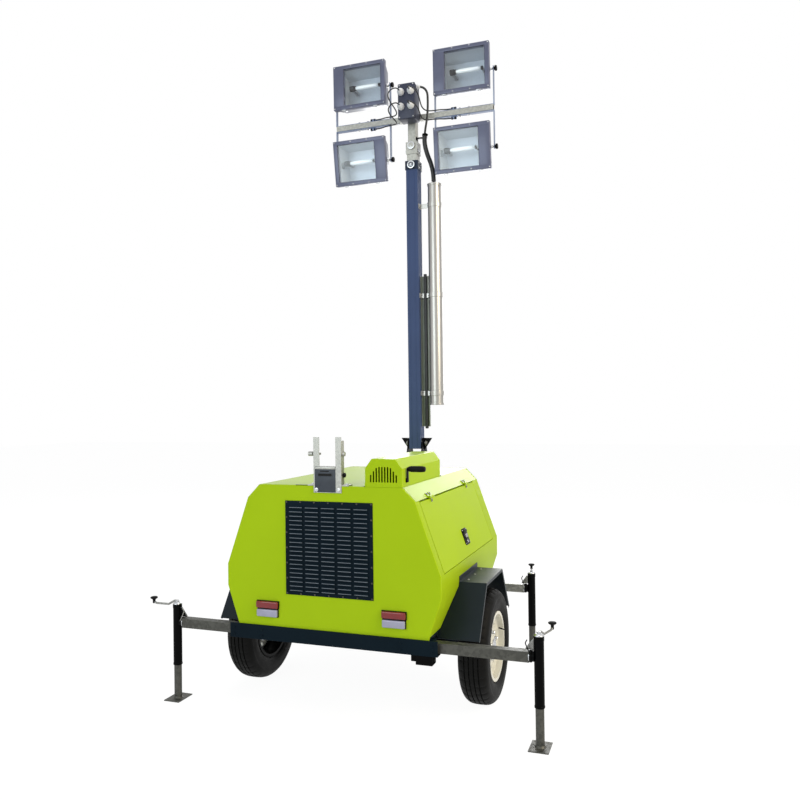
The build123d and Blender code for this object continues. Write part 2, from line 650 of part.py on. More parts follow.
# Half of the tyre's section outside and inside: distance from its middle, and radius
tyre_outer = (
    (bead_half, tyre_bead_radius),
    (bead_half, rim_radius + 2),
    (tyre_half, rim_radius + 50),
    (tyre_half - 8, tyre_radius - 32),
    (tyre_half - 24, tyre_radius - 9),
    (tyre_half - 52, tyre_radius),
)
tyre_inner = (
    (bead_half - 12, tyre_bead_radius),
    (tyre_half - 14, rim_radius + 50),
    (tyre_half - 40, tyre_radius - 18),
)
for side, name in ((-1, "left"), (1, "right")):
    hub_axis = Axis((0, axle_y, tyre_radius), (1, 0, 0))
    wheel_plane = Plane(origin=(side * wheel_x, axle_y, tyre_radius), x_dir=(side, 0, 0), z_dir=(0, -side, 0))
    with BuildPart() as tyre:
        with BuildSketch(wheel_plane):
            outline(tyre_outer + tuple((-x, r) for x, r in reversed(tyre_outer)))
            outline(tyre_inner + tuple((-x, r) for x, r in reversed(tyre_inner)), Mode.SUBTRACT)
        revolve(axis=hub_axis)
    save(tyre.part, f"tyre_{name}")

    with BuildPart() as rim:
        with BuildSketch(wheel_plane):
            outline([
                (-rim_half, rim_radius),
                (-rim_half, tyre_bead_radius - rim_sheet),
                (rim_half, tyre_bead_radius - rim_sheet),
                (rim_half, rim_radius),
                (rim_half - rim_sheet, rim_radius),
                (rim_half - rim_sheet, tyre_bead_radius),
                (-rim_half + rim_sheet, tyre_bead_radius),
                (-rim_half + rim_sheet, rim_radius),
            ])
            outline(disc_section)
            outline([
                (hub_inner, spindle_radius + spindle_clearance),
                (hub_outer - rim_sheet, spindle_radius + spindle_clearance),
                (hub_outer - rim_sheet, 0),
                (hub_outer + rim_sheet, 0),
                (hub_outer + rim_sheet, hub_radius - 14),
                (hub_outer, hub_radius),
                (hub_inner, hub_radius),
            ])
        revolve(axis=hub_axis)
        with BuildSketch(along(side * wheel_x)):
            with Locations((axle_y, tyre_radius)):
                with PolarLocations(wheel_slot_radius, wheel_slot_count):
                    RectangleRounded(wheel_slot_width, wheel_slot_length, wheel_slot_corner)
        extrude(amount=side * rim_half, mode=Mode.SUBTRACT)
    save(rim.part, f"rim_{name}")

# Mudguards: a bent sheet that meets the enclosure's side, with a lip along its outer edge and
# a flange on the band
guard_path = (
    (axle_y - guard_low_half, guard_low_z),
    (axle_y - guard_top_half, guard_top_z),
    (axle_y + guard_top_half, guard_top_z),
    (axle_y + guard_low_half, guard_low_z),
)
with BuildPart() as mudguards:
    for side in (-1, 1):
        for start_x, depth, width in (
            (bottom_half, guard_sheet, guard_outer_x - bottom_half),
            (guard_outer_x - guard_sheet, guard_lip, guard_sheet),
        ):
            with BuildSketch(along(side * start_x)):
                with BuildLine():
                    Polyline(*guard_path)
                    offset(amount=depth, kind=Kind.INTERSECTION, side=Side.RIGHT, closed=True)
                make_face()
            extrude(amount=side * width)
    with BuildSketch(across(front_y)):
        outline(body_corners)
    extrude(amount=body_length, mode=Mode.SUBTRACT)
    for side in (-1, 1):
        low_x, high_x = sorted((side * band_half, side * (band_half + guard_sheet)))
        block(
            (low_x, axle_y - guard_top_half, guard_top_z - guard_sheet),
            (high_x, axle_y + guard_top_half, guard_top_z + guard_flange),
        )
save(mudguards.part, "mudguards")

# Tail lamps: a red lens above a clear one on each side
with BuildPart() as tail_lamps:
    for low_z, height in (
        (tail_red_low_z, tail_red_height),
        (tail_clear_low_z, tail_clear_height),
    ):
        with BuildSketch(across(rear_y)):
            for side in (-1, 1):
                with Locations((side * tail_x, low_z + height / 2)):
                    RectangleRounded(tail_width, height, 6)
        extrude(amount=tail_depth)
save(tail_lamps.part, "tail_lamps")

# Genset on the floor
with BuildPart() as engine_block:
    floor_z = bottom_z + wall
    block(
        (-engine_x / 2, rear_y + engine_place - engine_y / 2, floor_z),
        (engine_x / 2, rear_y + engine_place + engine_y / 2, floor_z + engine_z),
    )
save(engine_block.part, "engine_block")

# Mast support: a column on the drawbar, two cheeks and the pivot pin between them
cheek_inner = outer_side / 2 + cheek_gap
with BuildPart() as mast_support:
    block(
        (-column_foot_x / 2, mast_y - column_foot_y / 2, bottom_z),
        (column_foot_x / 2, mast_y + column_foot_y / 2, bottom_z + column_foot_sheet),
    )
    with BuildSketch(upward(0, mast_y, bottom_z + column_foot_sheet)):
        square_ring(column_side, column_wall)
    extrude(amount=column_top_z - bottom_z - column_foot_sheet - column_wall)
    block(
        (-column_side / 2, mast_y - column_side / 2, column_top_z - column_wall),
        (column_side / 2, mast_y + column_side / 2, column_top_z),
    )
    for side in (-1, 1):
        with BuildSketch(along(side * cheek_inner)):
            outline([
                (mast_y - column_side / 2, cheek_low_z),
                (mast_y + column_side / 2, cheek_low_z),
                (mast_y + cheek_half, pivot_z - cheek_half),
                (mast_y + cheek_tip_half, cheek_top_z),
                (mast_y - cheek_tip_half, cheek_top_z),
                (mast_y - cheek_half, pivot_z - cheek_half),
            ])
        extrude(amount=side * cheek_thickness)
        wing_x = side * (cheek_inner + cheek_thickness)
        with BuildSketch(across(mast_y + wing_sheet / 2)):
            outline([
                (wing_x, wing_low_z),
                (wing_x, wing_top_z),
                (wing_x + side * wing_reach, wing_top_z),
            ])
        extrude(amount=wing_sheet)
    pin_half = cheek_inner + cheek_thickness + wing_sheet
    with BuildSketch(along(-pin_half)):
        with Locations((mast_y, pivot_z)):
            Circle(pivot_radius)
    extrude(amount=2 * pin_half)
save(mast_support.part, "mast_support")

# Mast: three square tubes, each sliding in the one outside it
middle_side = outer_side - 2 * mast_wall - 2 * tube_gap
top_side = middle_side - 2 * mast_wall - 2 * tube_gap


def sheave(y, z):
    """A cable sheave that faces backwards from a mast head's rear side."""
    for start_y, radius, reach in (
        (y, sheave_radius, sheave_width),
        (y - sheave_width, sheave_pin, sheave_width / 3),
    ):
        with BuildSketch(across(start_y)) as section:
            with Locations((0, z)):
                Circle(radius)
        extrude(section.sketch, amount=reach)


with BuildPart() as mast_outer:
    with BuildSketch(upward(0, mast_y, mast_base_z)):
        square_ring(outer_side, mast_wall)
    extrude(amount=outer_top_z - mast_base_z)
    with BuildSketch(upward(0, mast_y, outer_top_z)):
        square_ring(head_side, (head_side - middle_side) / 2 - slide_gap)
    extrude(amount=head_top_z - outer_top_z)
    sheave(mast_y - head_side / 2, (outer_top_z + head_top_z) / 2)
    with BuildSketch(along(-outer_side / 2)):
        with Locations((mast_y, pivot_z)):
            Circle(bush_radius)
    extrude(amount=outer_side)
    with BuildSketch(along(-outer_side / 2)):
        with Locations((mast_y, pivot_z)):
            Circle(pivot_radius + pivot_clearance)
    extrude(amount=outer_side, mode=Mode.SUBTRACT)
save(mast_outer.part, "mast_outer")

with BuildPart() as mast_middle:
    with BuildSketch(upward(0, mast_y, middle_low_z)):
        square_ring(middle_side, mast_wall)
    extrude(amount=middle_top_z - middle_low_z)
    with BuildSketch(upward(0, mast_y, collar_low_z)):
        square_ring(collar_side, (collar_side - top_side) / 2 - slide_gap)
    extrude(amount=middle_top_z - collar_low_z)
    sheave(mast_y - collar_side / 2, middle_top_z - sheave_radius)
save(mast_middle.part, "mast_middle")

with BuildPart() as mast_top:
    with BuildSketch(upward(0, mast_y, top_low_z)):
        square_ring(top_side, mast_wall)
    extrude(amount=top_high_z - top_low_z)
save(mast_top.part, "mast_top")

# Cable tube with its caps, held to the mast by clamps
tube_inner_x = cable_tube_x - cable_tube_radius
with BuildPart() as cable_tube:
    with BuildSketch(upward(cable_tube_x, mast_y, cable_tube_low_z)):
        Circle(cable_tube_radius)
        Circle(cable_tube_radius - cable_tube_wall, mode=Mode.SUBTRACT)
    extrude(amount=cable_tube_top_z - cable_tube_low_z)
    for z in (cable_tube_low_z - cable_cap_height, cable_tube_top_z):
        with BuildSketch(upward(cable_tube_x, mast_y, z)):
            Circle(cable_cap_radius)
        extrude(amount=cable_cap_height)
    for z in clamp_places:
        with BuildSketch(upward(0, 0, z)):
            with Locations((cable_tube_x, mast_y)):
                Circle(cable_tube_radius + clamp_thickness)
            with Locations(((outer_side / 2 + cable_tube_x) / 2, mast_y)):
                Rectangle(cable_tube_x - outer_side / 2, clamp_thickness)
            with Locations((outer_side / 2 + clamp_thickness / 2, mast_y)):
                Rectangle(clamp_thickness, clamp_depth)
            with Locations((cable_tube_x, mast_y)):
                Circle(cable_tube_radius - cable_tube_wall, mode=Mode.SUBTRACT)
        extrude(amount=clamp_height)
save(cable_tube.part, "cable_tube")

# Cradle for the folded mast, with its locking pin
with BuildPart() as mast_cradle:
    slot_half = outer_side / 2 + cradle_slot_gap
    with BuildSketch(across(rear_y)):
        with Locations((0, (cradle_low_z + cradle_plate_z) / 2)):
            Rectangle(2 * cradle_half, cradle_plate_z - cradle_low_z)
        with Locations(*((0, cradle_plate_z - drop) for drop in cradle_slot_drops)):
            SlotOverall(cradle_slot_length, cradle_slot_width, mode=Mode.SUBTRACT)
    extrude(amount=cradle_sheet)
    block(
        (-cradle_half, rear_y - cradle_sheet, cradle_bar_z - cradle_bar_thickness),
        (cradle_half, rear_y + cradle_depth, cradle_bar_z),
    )
    for side in (-1, 1):
        low_x, high_x = sorted((side * slot_half, side * cradle_half))
        block((low_x, rear_y - cradle_sheet, cradle_low_z), (high_x, rear_y, cradle_post_z))
        low_x, high_x = sorted((side * cradle_half, side * (cradle_half - cradle_sheet)))
        block((low_x, rear_y, roof_z), (high_x, rear_y + cradle_depth, cradle_post_z - 20))
    block(
        (-cradle_foot_half, rear_y, roof_z),
        (cradle_foot_half, rear_y + cradle_foot_depth, roof_z + cradle_sheet),
    )
    # A round-headed pin through the left post, and a knob on the right one
    for start_x, radius, reach in (
        (-slot_half, cradle_pin_radius, slot_half - cradle_half - cradle_ball_radius),
        (-cradle_half - cradle_ball_radius, cradle_ball_radius, -2 * cradle_ball_radius),
        (cradle_half, cradle_ball_radius, cradle_ball_radius),
    ):
        with BuildSketch(along(start_x)):
            with Locations((rear_y + cradle_depth / 2, cradle_pin_z)):
                Circle(radius)
        extrude(amount=reach)
save(mast_cradle.part, "mast_cradle")

# Light bar across the top of the mast
with BuildPart() as light_bar:
    with BuildSketch(along(-bar_half)):
        with Locations((mast_y, bar_z)):
            square_ring(bar_side, bar_wall)
    extrude(amount=2 * bar_half)
save(light_bar.part, "light_bar")

# Junction box on the bar's rear side, with four round glands
pad_rear_y = mast_y - bar_side / 2 - box_stand
box_rear_y = pad_rear_y - box_depth
with BuildPart() as junction_box:
    block(
        (-box_width / 2, box_rear_y, box_low_z),
        (box_width / 2, pad_rear_y, box_low_z + box_height),
    )
    fillet(junction_box.edges().filter_by(Axis.Y), box_corner)
    block(
        (-box_width / 2, pad_rear_y, bar_z - bar_side / 2),
        (box_width / 2, mast_y - bar_side / 2, bar_z + bar_side / 2),
    )
    with BuildSketch(across(box_rear_y)):
        with Locations((0, gland_z)):
            with GridLocations(2 * gland_spread_x, 2 * gland_spread_z, 2, 2):
                Circle(gland_radius)
    extrude(amount=gland_length, taper=gland_taper)
save(junction_box.part, "junction_box")

# Yokes: a strap round each lamp, bolted to the bar
yoke_inner = lamp_width / 2 + yoke_gap
with BuildPart() as lamp_yokes:
    for name, side, up, tilt in lamp_table:
        axis_z = bar_z + up * lamp_offset
        base_z = bar_z + up * bar_side / 2
        tip_z = axis_z + up * yoke_tip
        centre_x = side * lamp_x
        with BuildSketch(across(mast_y + yoke_width / 2)):
            outline([
                (centre_x - yoke_inner - yoke_sheet, base_z),
                (centre_x + yoke_inner + yoke_sheet, base_z),
                (centre_x + yoke_inner + yoke_sheet, tip_z),
                (centre_x + yoke_inner, tip_z),
                (centre_x + yoke_inner, base_z + up * yoke_sheet),
                (centre_x - yoke_inner, base_z + up * yoke_sheet),
                (centre_x - yoke_inner, tip_z),
                (centre_x - yoke_inner - yoke_sheet, tip_z),
            ])
        extrude(amount=yoke_width)
        with BuildSketch(along(centre_x - yoke_inner - yoke_sheet)):
            with Locations((mast_y, axis_z)):
                Circle(trunnion_radius + trunnion_clearance)
        extrude(amount=2 * (yoke_inner + yoke_sheet), mode=Mode.SUBTRACT)
        with BuildSketch(along(side * connector_x)):
            with Locations((mast_y, base_z + up * (yoke_sheet + connector_radius))):
                Circle(connector_radius)
            with Locations((mast_y, base_z + up * (yoke_sheet + connector_radius / 2))):
                Rectangle(1.6 * connector_radius, connector_radius)
        extrude(amount=side * connector_length)
save(lamp_yokes.part, "lamp_yokes")

# Lamps: a rim with an offset window, a tapered reflector housing, and a tube in its socket
for name, side, up, tilt in lamp_table:
    axis_z = bar_z + up * lamp_offset
    lean = math.radians(tilt)
    face = Plane(
        origin=(side * lamp_x, mast_y, axis_z),
        x_dir=(1, 0, 0),
        z_dir=(0, -math.cos(lean), -math.sin(lean)),
    )
    shift = up * window_shift
    rim_back = lamp_front - lamp_rim
    with BuildPart() as lamp:
        with BuildSketch(face.offset(rim_back)):
            Rectangle(lamp_width - lamp_inset, lamp_height - lamp_inset)
        with BuildSketch(face.offset(rim_back - lamp_depth)):
            Rectangle(lamp_back_width, lamp_back_height)
        loft()
        with BuildSketch(face.offset(rim_back)):
            with Locations((shift, 0)):
                Rectangle(window_width, window_height)
        with BuildSketch(face.offset(rim_back - lamp_depth + lamp_shell)):
            Rectangle(lamp_back_width - 2 * lamp_shell, lamp_back_height - 2 * lamp_shell)
        loft(mode=Mode.SUBTRACT)
        with BuildSketch(face.offset(rim_back)):
            RectangleRounded(lamp_width, lamp_height, lamp_corner)
            with Locations((shift, 0)):
                Rectangle(
                    window_width - 2 * glass_ledge,
                    window_height - 2 * glass_ledge,
                    mode=Mode.SUBTRACT,
                )
        extrude(amount=lamp_rim)
        with BuildSketch(face.offset(lamp_front - glass_recess - glass_thickness)):
            with Locations((shift, 0)):
                Rectangle(window_width, window_height)
        extrude(amount=glass_recess + glass_thickness, mode=Mode.SUBTRACT)
        # The tube stands off the housing's back on its socket and on a slim post
        tube_plane = Plane(
            origin=face.offset(lamp_front - bulb_depth).origin, x_dir=face.y_dir, z_dir=(1, 0, 0)
        )
        tube_start = shift - (bulb_length + socket_length) / 2
        with BuildSketch(tube_plane.offset(tube_start)):
            Circle(socket_radius)
        extrude(amount=socket_length)
        with BuildSketch(tube_plane.offset(tube_start + socket_length)):
            Circle(bulb_radius)
        extrude(amount=bulb_length)
        with BuildSketch(face.offset(lamp_front - bulb_depth)):
            for along_x in (tube_start + socket_length / 2, tube_start + bulb_length + socket_length - bulb_post_gap):
                with Locations((along_x, 0)):
                    Rectangle(socket_post, socket_post)
        extrude(amount=-(lamp_rim + lamp_depth - bulb_depth))
        # Pivot stubs with a clamping knob on the right
        stub_half = yoke_inner + yoke_sheet + stub_reach
        stub_start = lamp_back_width / 2 + stub_sink
        for end in (-1, 1):
            with BuildSketch(along(side * lamp_x + end * stub_start)):
                with Locations((mast_y, axis_z)):
                    Circle(trunnion_radius)
            extrude(amount=end * (stub_half - stub_start))
        with BuildSketch(along(side * lamp_x + stub_half)):
            with Locations((mast_y, axis_z)):
                Circle(lamp_knob_radius)
        extrude(amount=lamp_knob_height)
    save(lamp.part, f"lamp_{name}")

    with BuildPart() as glass:
        with BuildSketch(face.offset(lamp_front - glass_recess - glass_thickness)):
            with Locations((shift, 0)):
                Rectangle(window_width - 2 * glass_clearance, window_height - 2 * glass_clearance)
        extrude(amount=glass_thickness)
    save(glass.part, f"glass_{name}")

# Cables: up from the cable tube to the junction box, and from the box to each lamp
def bend_radii(points):
    """The largest bend that each corner of a cable's route allows."""
    radii = []
    for before, corner, after in zip(points, points[1:], points[2:]):
        arriving = Vector(*corner) - Vector(*before)
        leaving = Vector(*after) - Vector(*corner)
        half_turn = math.radians(arriving.get_angle(leaving)) / 2
        radii.append(0.45 * min(arriving.length, leaving.length) / math.tan(half_turn))
    return radii


cable_table = (
    # name, side, radius, route
    ("mast_cable", 1, mast_cable_radius, mast_cable_route),
    ("lamp_cable_upper_left", -1, lamp_cable_radius, upper_cable_route),
    ("lamp_cable_upper_right", 1, lamp_cable_radius, upper_cable_route),
    ("lamp_cable_lower_left", -1, lamp_cable_radius, lower_cable_route),
    ("lamp_cable_lower_right", 1, lamp_cable_radius, lower_cable_route),
)
for name, side, radius, route in cable_table:
    points = [(side * x, mast_y + y, bar_z + z) for x, y, z in route]
    radii = bend_radii(points)
    with BuildPart() as cable:
        with BuildLine() as path:
            FilletPolyline(*points, radius=radii)
        with BuildSketch(Plane(origin=path.line @ 0, z_dir=path.line % 0)):
            Circle(radius)
        sweep()
    length = sum(edge.length for edge in path.line.edges())
    print(name, "length", round(length), "smallest bend radius", round(min(radii), 1),
          "volume against section times length", round(cable.part.volume / (length * math.pi * radius ** 2), 4))
    save(cable.part, name)

# Outriggers: a sliding beam, a jack on its end, and a leg that winds down out of the jack
for name, side, sleeve_y, jack_reach, crank_angle in outrigger_table:
    jack_x = side * jack_reach
    beam_end = jack_reach - jack_radius - mount_length
    with BuildPart() as beam:
        with BuildSketch(along(side * beam_end)):
            with Locations((sleeve_y, frame_z)):
                square_ring(beam_side, beam_wall)
        extrude(amount=-side * beam_length)
    save(beam.part, f"beam_{name}")

    with BuildPart() as jack:
        with BuildSketch(upward(jack_x, sleeve_y, jack_low_z)):
            Circle(jack_radius)
        extrude(amount=jack_top_z - jack_low_z)
        with BuildSketch(along(side * beam_end)):
            with Locations((sleeve_y, frame_z)):
                Circle(mount_radius)
        extrude(amount=side * (mount_length + jack_radius))
        with BuildSketch(upward(jack_x, sleeve_y, jack_low_z)):
            Circle(leg_radius + slide_gap)
        extrude(amount=jack_mouth, mode=Mode.SUBTRACT)
        with BuildSketch(upward(jack_x, sleeve_y, jack_low_z + jack_mouth)):
            Circle(jack_radius - jack_wall)
        extrude(amount=jack_top_z - jack_wall - jack_low_z - jack_mouth, mode=Mode.SUBTRACT)
        with BuildSketch(upward(jack_x, sleeve_y, jack_top_z)):
            Circle(crank_hub_radius)
        extrude(amount=crank_hub_height)
        turn = Plane(
            origin=(jack_x, sleeve_y, jack_top_z + crank_hub_height - crank_rod),
            x_dir=(math.cos(math.radians(crank_angle)), math.sin(math.radians(crank_angle)), 0),
            z_dir=(math.sin(math.radians(crank_angle)), -math.cos(math.radians(crank_angle)), 0),
        )
        with BuildSketch(turn):
            outline([
                (0, crank_rod),
                (0, -crank_rod),
                (crank_bend, -crank_drop - crank_rod),
                (crank_reach + crank_rod, -crank_drop - crank_rod),
                (crank_reach + crank_rod, -crank_drop + crank_rod),
                (crank_bend + crank_rod, -crank_drop + crank_rod),
            ])
        extrude(amount=crank_rod, both=True)
        knob_plane = Plane(origin=turn.from_local_coords(Vector(crank_reach, -crank_drop, 0)))
        with BuildSketch(knob_plane):
            Circle(knob_stem_radius)
        extrude(amount=knob_height)
        with BuildSketch(knob_plane.offset(knob_height / 2)):
            Circle(knob_radius)
        extrude(amount=knob_height / 3, taper=knob_taper)
    save(jack.part, f"jack_{name}")

    with BuildPart() as leg:
        block(
            (jack_x - foot_x / 2, sleeve_y - foot_y / 2, 0),
            (jack_x + foot_x / 2, sleeve_y + foot_y / 2, foot_sheet),
        )
        with BuildSketch(upward(jack_x, sleeve_y, foot_sheet)):
            Circle(leg_radius)
            Circle(leg_radius - leg_wall, mode=Mode.SUBTRACT)
        extrude(amount=leg_top_z - foot_sheet)
    save(leg.part, f"leg_{name}")
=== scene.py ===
import json
import math

import bmesh
import bpy
from mathutils import Matrix, Vector


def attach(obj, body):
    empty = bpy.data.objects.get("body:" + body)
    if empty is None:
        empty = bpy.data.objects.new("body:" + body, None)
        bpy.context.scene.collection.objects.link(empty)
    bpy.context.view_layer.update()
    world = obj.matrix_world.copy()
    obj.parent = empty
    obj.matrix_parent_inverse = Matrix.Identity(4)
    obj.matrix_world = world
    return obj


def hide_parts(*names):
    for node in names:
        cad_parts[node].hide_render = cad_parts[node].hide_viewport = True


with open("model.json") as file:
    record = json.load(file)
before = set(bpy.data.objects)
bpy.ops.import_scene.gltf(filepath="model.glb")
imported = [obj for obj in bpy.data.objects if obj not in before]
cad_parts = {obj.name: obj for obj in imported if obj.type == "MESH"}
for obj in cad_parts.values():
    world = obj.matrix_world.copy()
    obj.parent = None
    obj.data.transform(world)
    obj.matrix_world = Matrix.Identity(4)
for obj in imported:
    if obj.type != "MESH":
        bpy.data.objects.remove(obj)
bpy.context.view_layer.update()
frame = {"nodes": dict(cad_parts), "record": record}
nodes = frame["nodes"]
body_of = {node: body for body, members in frame["record"]["behaviour"]["bodies"].items() for node in members}

# Places in the shared frame, in metres, as in the part's source
rear_y, front_y = -1.2925, 0.0635
mast_y, bar_z = 0.2775, 3.914
axle_y, wheel_x, tyre_radius = -0.7255, 0.744, 0.332
roof_z, shoulder_z, band_high_z = 1.312, 1.236, 0.844
roof_half, shoulder_half, band_half = 0.436, 0.511, 0.65
rear_sleeve_y, front_sleeve_y, frame_z = -1.2475, 0.2075, 0.4625
slope = math.atan2(band_half - shoulder_half, shoulder_z - band_high_z)
chamfer_out = Vector((roof_z - shoulder_z, shoulder_half - roof_half)).normalized()

sides = ((-1, "left"), (1, "right"))

scene = bpy.context.scene
show = scene.collection.objects.link

# Camera, at the photograph's viewing angle
yaw, pitch, roll = math.radians(19.75), math.radians(0.55), -0.0122
ahead = Vector((-math.sin(yaw) * math.cos(pitch), math.cos(yaw) * math.cos(pitch), math.sin(pitch)))
level = Vector((math.cos(yaw), math.sin(yaw), 0.0))
upright = level.cross(ahead)
right = level * math.cos(roll) + upright * math.sin(roll)
up = upright * math.cos(roll) - level * math.sin(roll)
camera_data = bpy.data.cameras.new("camera")
camera_data.sensor_fit = "HORIZONTAL"
camera_data.sensor_width = 36.0
camera_data.lens = 766.3 / 800 * 36
camera_data.clip_end = 200.0
camera = bpy.data.objects.new("camera", camera_data)
show(camera)
camera.matrix_world = Matrix.Translation((1.828, -5.1775, 1.745)) @ Matrix((right, up, -ahead)).transposed().to_4x4()
scene.camera = camera


# Materials
def feed(tree, node, inputs):
    """Set a node's inputs, each to a value or to what another node gives."""
    for key, value in inputs.items():
        if isinstance(value, bpy.types.NodeSocket):
            tree.links.new(value, node.inputs[key])
        else:
            node.inputs[key].default_value = value


def add(tree, kind, inputs):
    """A new shader node with its inputs set."""
    node = tree.nodes.new("ShaderNode" + kind)
    feed(tree, node, inputs)
    return node


def surface(
    name, colour, shade=0.88, metallic=0.0, roughness=(0.36, 0.5), patch=3.0, grain=320.0, bump=0.1, depth=0.0004,
    coat=0.0, coat_roughness=0.08, specular=0.5, stretch=(1.0, 1.0, 1.0), spangle=False
):
    """A material whose colour and roughness drift over the surface, with a fine bump."""
    made = bpy.data.materials.new(name)
    made.use_nodes = True
    tree = made.node_tree
    local = add(tree, "TexCoord", {}).outputs["Object"]
    spot = add(tree, "Mapping", {"Vector": local, "Scale": stretch}).outputs["Vector"]
    if spangle:
        cells = add(tree, "TexVoronoi", {"Vector": spot, "Scale": patch})
        drift = add(tree, "SeparateColor", {"Color": cells.outputs["Color"]}).outputs["Red"]
    else:
        cloud = {"Vector": spot, "Scale": patch, "Detail": 6.0, "Roughness": 0.6}
        drift = add(tree, "TexNoise", cloud).outputs["Fac"]
    ramp = add(tree, "ValToRGB", {"Fac": drift})
    dark, light = ramp.color_ramp.elements
    dark.position, light.position = 0.25, 0.75
    dark.color, light.color = (*(c * shade for c in colour), 1.0), (*colour, 1.0)
    low, high = roughness
    spread = add(tree, "MapRange", {"Value": drift, "From Min": 0.2, "From Max": 0.8, "To Min": low, "To Max": high})
    fine = add(tree, "TexNoise", {"Vector": spot, "Scale": grain, "Detail": 3.0})
    relief = add(tree, "Bump", {"Strength": bump, "Distance": depth, "Height": fine.outputs["Fac"]})
    feed(tree, tree.nodes["Principled BSDF"], {
        "Base Color": ramp.outputs["Color"], "Roughness": spread.outputs["Result"], "Metallic": metallic,
        "Normal": relief.outputs["Normal"], "Specular IOR Level": specular, "Coat Weight": coat,
        "Coat Roughness": coat_roughness,
    })
    return made


green = surface("green_paint", (0.405, 0.585, 0.01), 0.94, roughness=(0.36, 0.44), bump=0.06, coat=0.03,
    coat_roughness=0.1, specular=0.03)
roof_green = surface("roof_green_paint", (0.405, 0.585, 0.012), 0.94, roughness=(0.34, 0.42), bump=0.06, coat=0.26,
    coat_roughness=0.16, specular=0.1)
navy = surface("navy_paint", (0.0042, 0.0115, 0.019), 0.75, roughness=(0.4, 0.52), specular=0.05)
# A lighter blue for the louvres' lips: a painted highlight where light catches the pressed edges
louvre_highlight_blue = surface("louvre_edge_painted_highlight", (0.17, 0.205, 0.25), 0.7, patch=30)
charcoal = surface("charcoal_paint", (0.012, 0.019, 0.026), 0.75, roughness=(0.34, 0.5), bump=0.12, coat=0.12,
    coat_roughness=0.22, specular=0.08)
black_plastic = surface("black_plastic", (0.006, 0.006, 0.007), 0.7, roughness=(0.42, 0.55), grain=700, bump=0.2,
    specular=0.08)
# Black metal, also used as painted shade on the wheels' inboard sides
black_metal = surface("black_metal", (0.0016, 0.0017, 0.002), 0.7, roughness=(0.3, 0.45), specular=0.05)
zinc = surface("galvanised_steel", (0.3, 0.3, 0.285), 0.72, 0.75, (0.34, 0.55), patch=90, bump=0.12, spangle=True)
pale_zinc = surface("bright_galvanised_steel", (0.43, 0.43, 0.4), 0.8, 0.55, (0.3, 0.46), patch=90, spangle=True)
dark_zinc = surface("dull_galvanised_steel", (0.09, 0.09, 0.08), 0.68, 0.7, (0.42, 0.6), patch=70, bump=0.15,
    spangle=True)
bright = surface("bright_steel", (0.56, 0.57, 0.59), 0.85, 0.9, (0.2, 0.32), patch=8, bump=0.05)
brushed = surface("brushed_steel", (0.4, 0.39, 0.37), 0.85, 0.85, (0.22, 0.36), patch=4, grain=260, bump=0.12,
    stretch=(1, 1, 0.04))
mast_dark = surface("mast_head_paint", (0.016, 0.026, 0.055), 0.75, patch=5, bump=0.08, specular=0.2)
mast_blue = surface("mast_blue_paint", (0.064, 0.096, 0.215), 0.8, patch=2, bump=0.08, specular=0.07)
pale_blue = surface("pale_blue_metal", (0.24, 0.3, 0.46), 0.85, 0.2, (0.34, 0.46), patch=5, bump=0.08)
rim_cream = surface("cream_paint", (0.74, 0.73, 0.66), 0.88, roughness=(0.3, 0.42), patch=9, bump=0.06, coat=0.3)
rubber = surface("tyre_rubber", (0.0035, 0.0035, 0.0032), 0.6, roughness=(0.5, 0.7), patch=14, grain=500, bump=0.2,
    depth=0.0005, specular=0.12)
housing_blue = surface("housing_paint", (0.03, 0.045, 0.105), 0.8, 0.1, (0.32, 0.46), patch=7, coat=0.15)
lamp_trim = surface("lamp_trim_metal", (0.098, 0.11, 0.185), 0.8, 0.25, (0.32, 0.45), patch=9, bump=0.08, coat=0.15)
reflector = surface("hammered_reflector", (0.5, 0.54, 0.58), 0.94, 0.1, (0.34, 0.46), patch=60, grain=120, bump=0.15,
    depth=0.001, spangle=True)
bulb_glass = surface("bulb_glass", (0.93, 0.94, 0.92), 0.95, 0.0, (0.08, 0.16), patch=20, bump=0.02, coat=0.8)
box_navy = surface("box_navy_plastic", (0.014, 0.02, 0.055), 0.8, patch=6, grain=600, bump=0.15)
box_grey = surface("grey_plastic", (0.3, 0.31, 0.33), 0.9, roughness=(0.42, 0.56), patch=6, grain=600, bump=0.15)
pale_plastic = surface("pale_plastic", (0.7, 0.72, 0.78), 0.88, patch=9, bump=0.08)
lens_red = surface("red_lens", (0.235, 0.001, 0.004), 0.7, roughness=(0.12, 0.2), patch=30, grain=200, bump=0.05,
    coat=0.3, coat_roughness=0.03)
lens_pale = surface("pale_lens", (0.36, 0.36, 0.5), 0.85, roughness=(0.12, 0.22), patch=30, grain=200, bump=0.05,
    coat=0.5, coat_roughness=0.04)
cable_black = surface("cable_jacket", (0.01, 0.01, 0.012), 0.7, roughness=(0.42, 0.6), patch=30, grain=500,
    bump=0.12)
slate = surface("slate_paint", (0.06, 0.07, 0.09), 0.75, patch=14, specular=0.2)
channel_grey = surface("channel_grey_paint", (0.29, 0.32, 0.28), 0.8, 0.3, (0.36, 0.5), patch=12)
engine_grey = surface("engine_grey", (0.1, 0.105, 0.11), 0.6, 0.3, (0.5, 0.7), patch=12, grain=150, bump=0.5,
    depth=0.001)
# Black seal rubber, also used as painted shade for the cradle plate's slot
seal_and_shade_black = surface("seal_rubber_and_painted_shade", (0.006, 0.006, 0.006), 0.7, roughness=(0.6, 0.75), patch=20, grain=300, bump=0.2,
    specular=0.2)


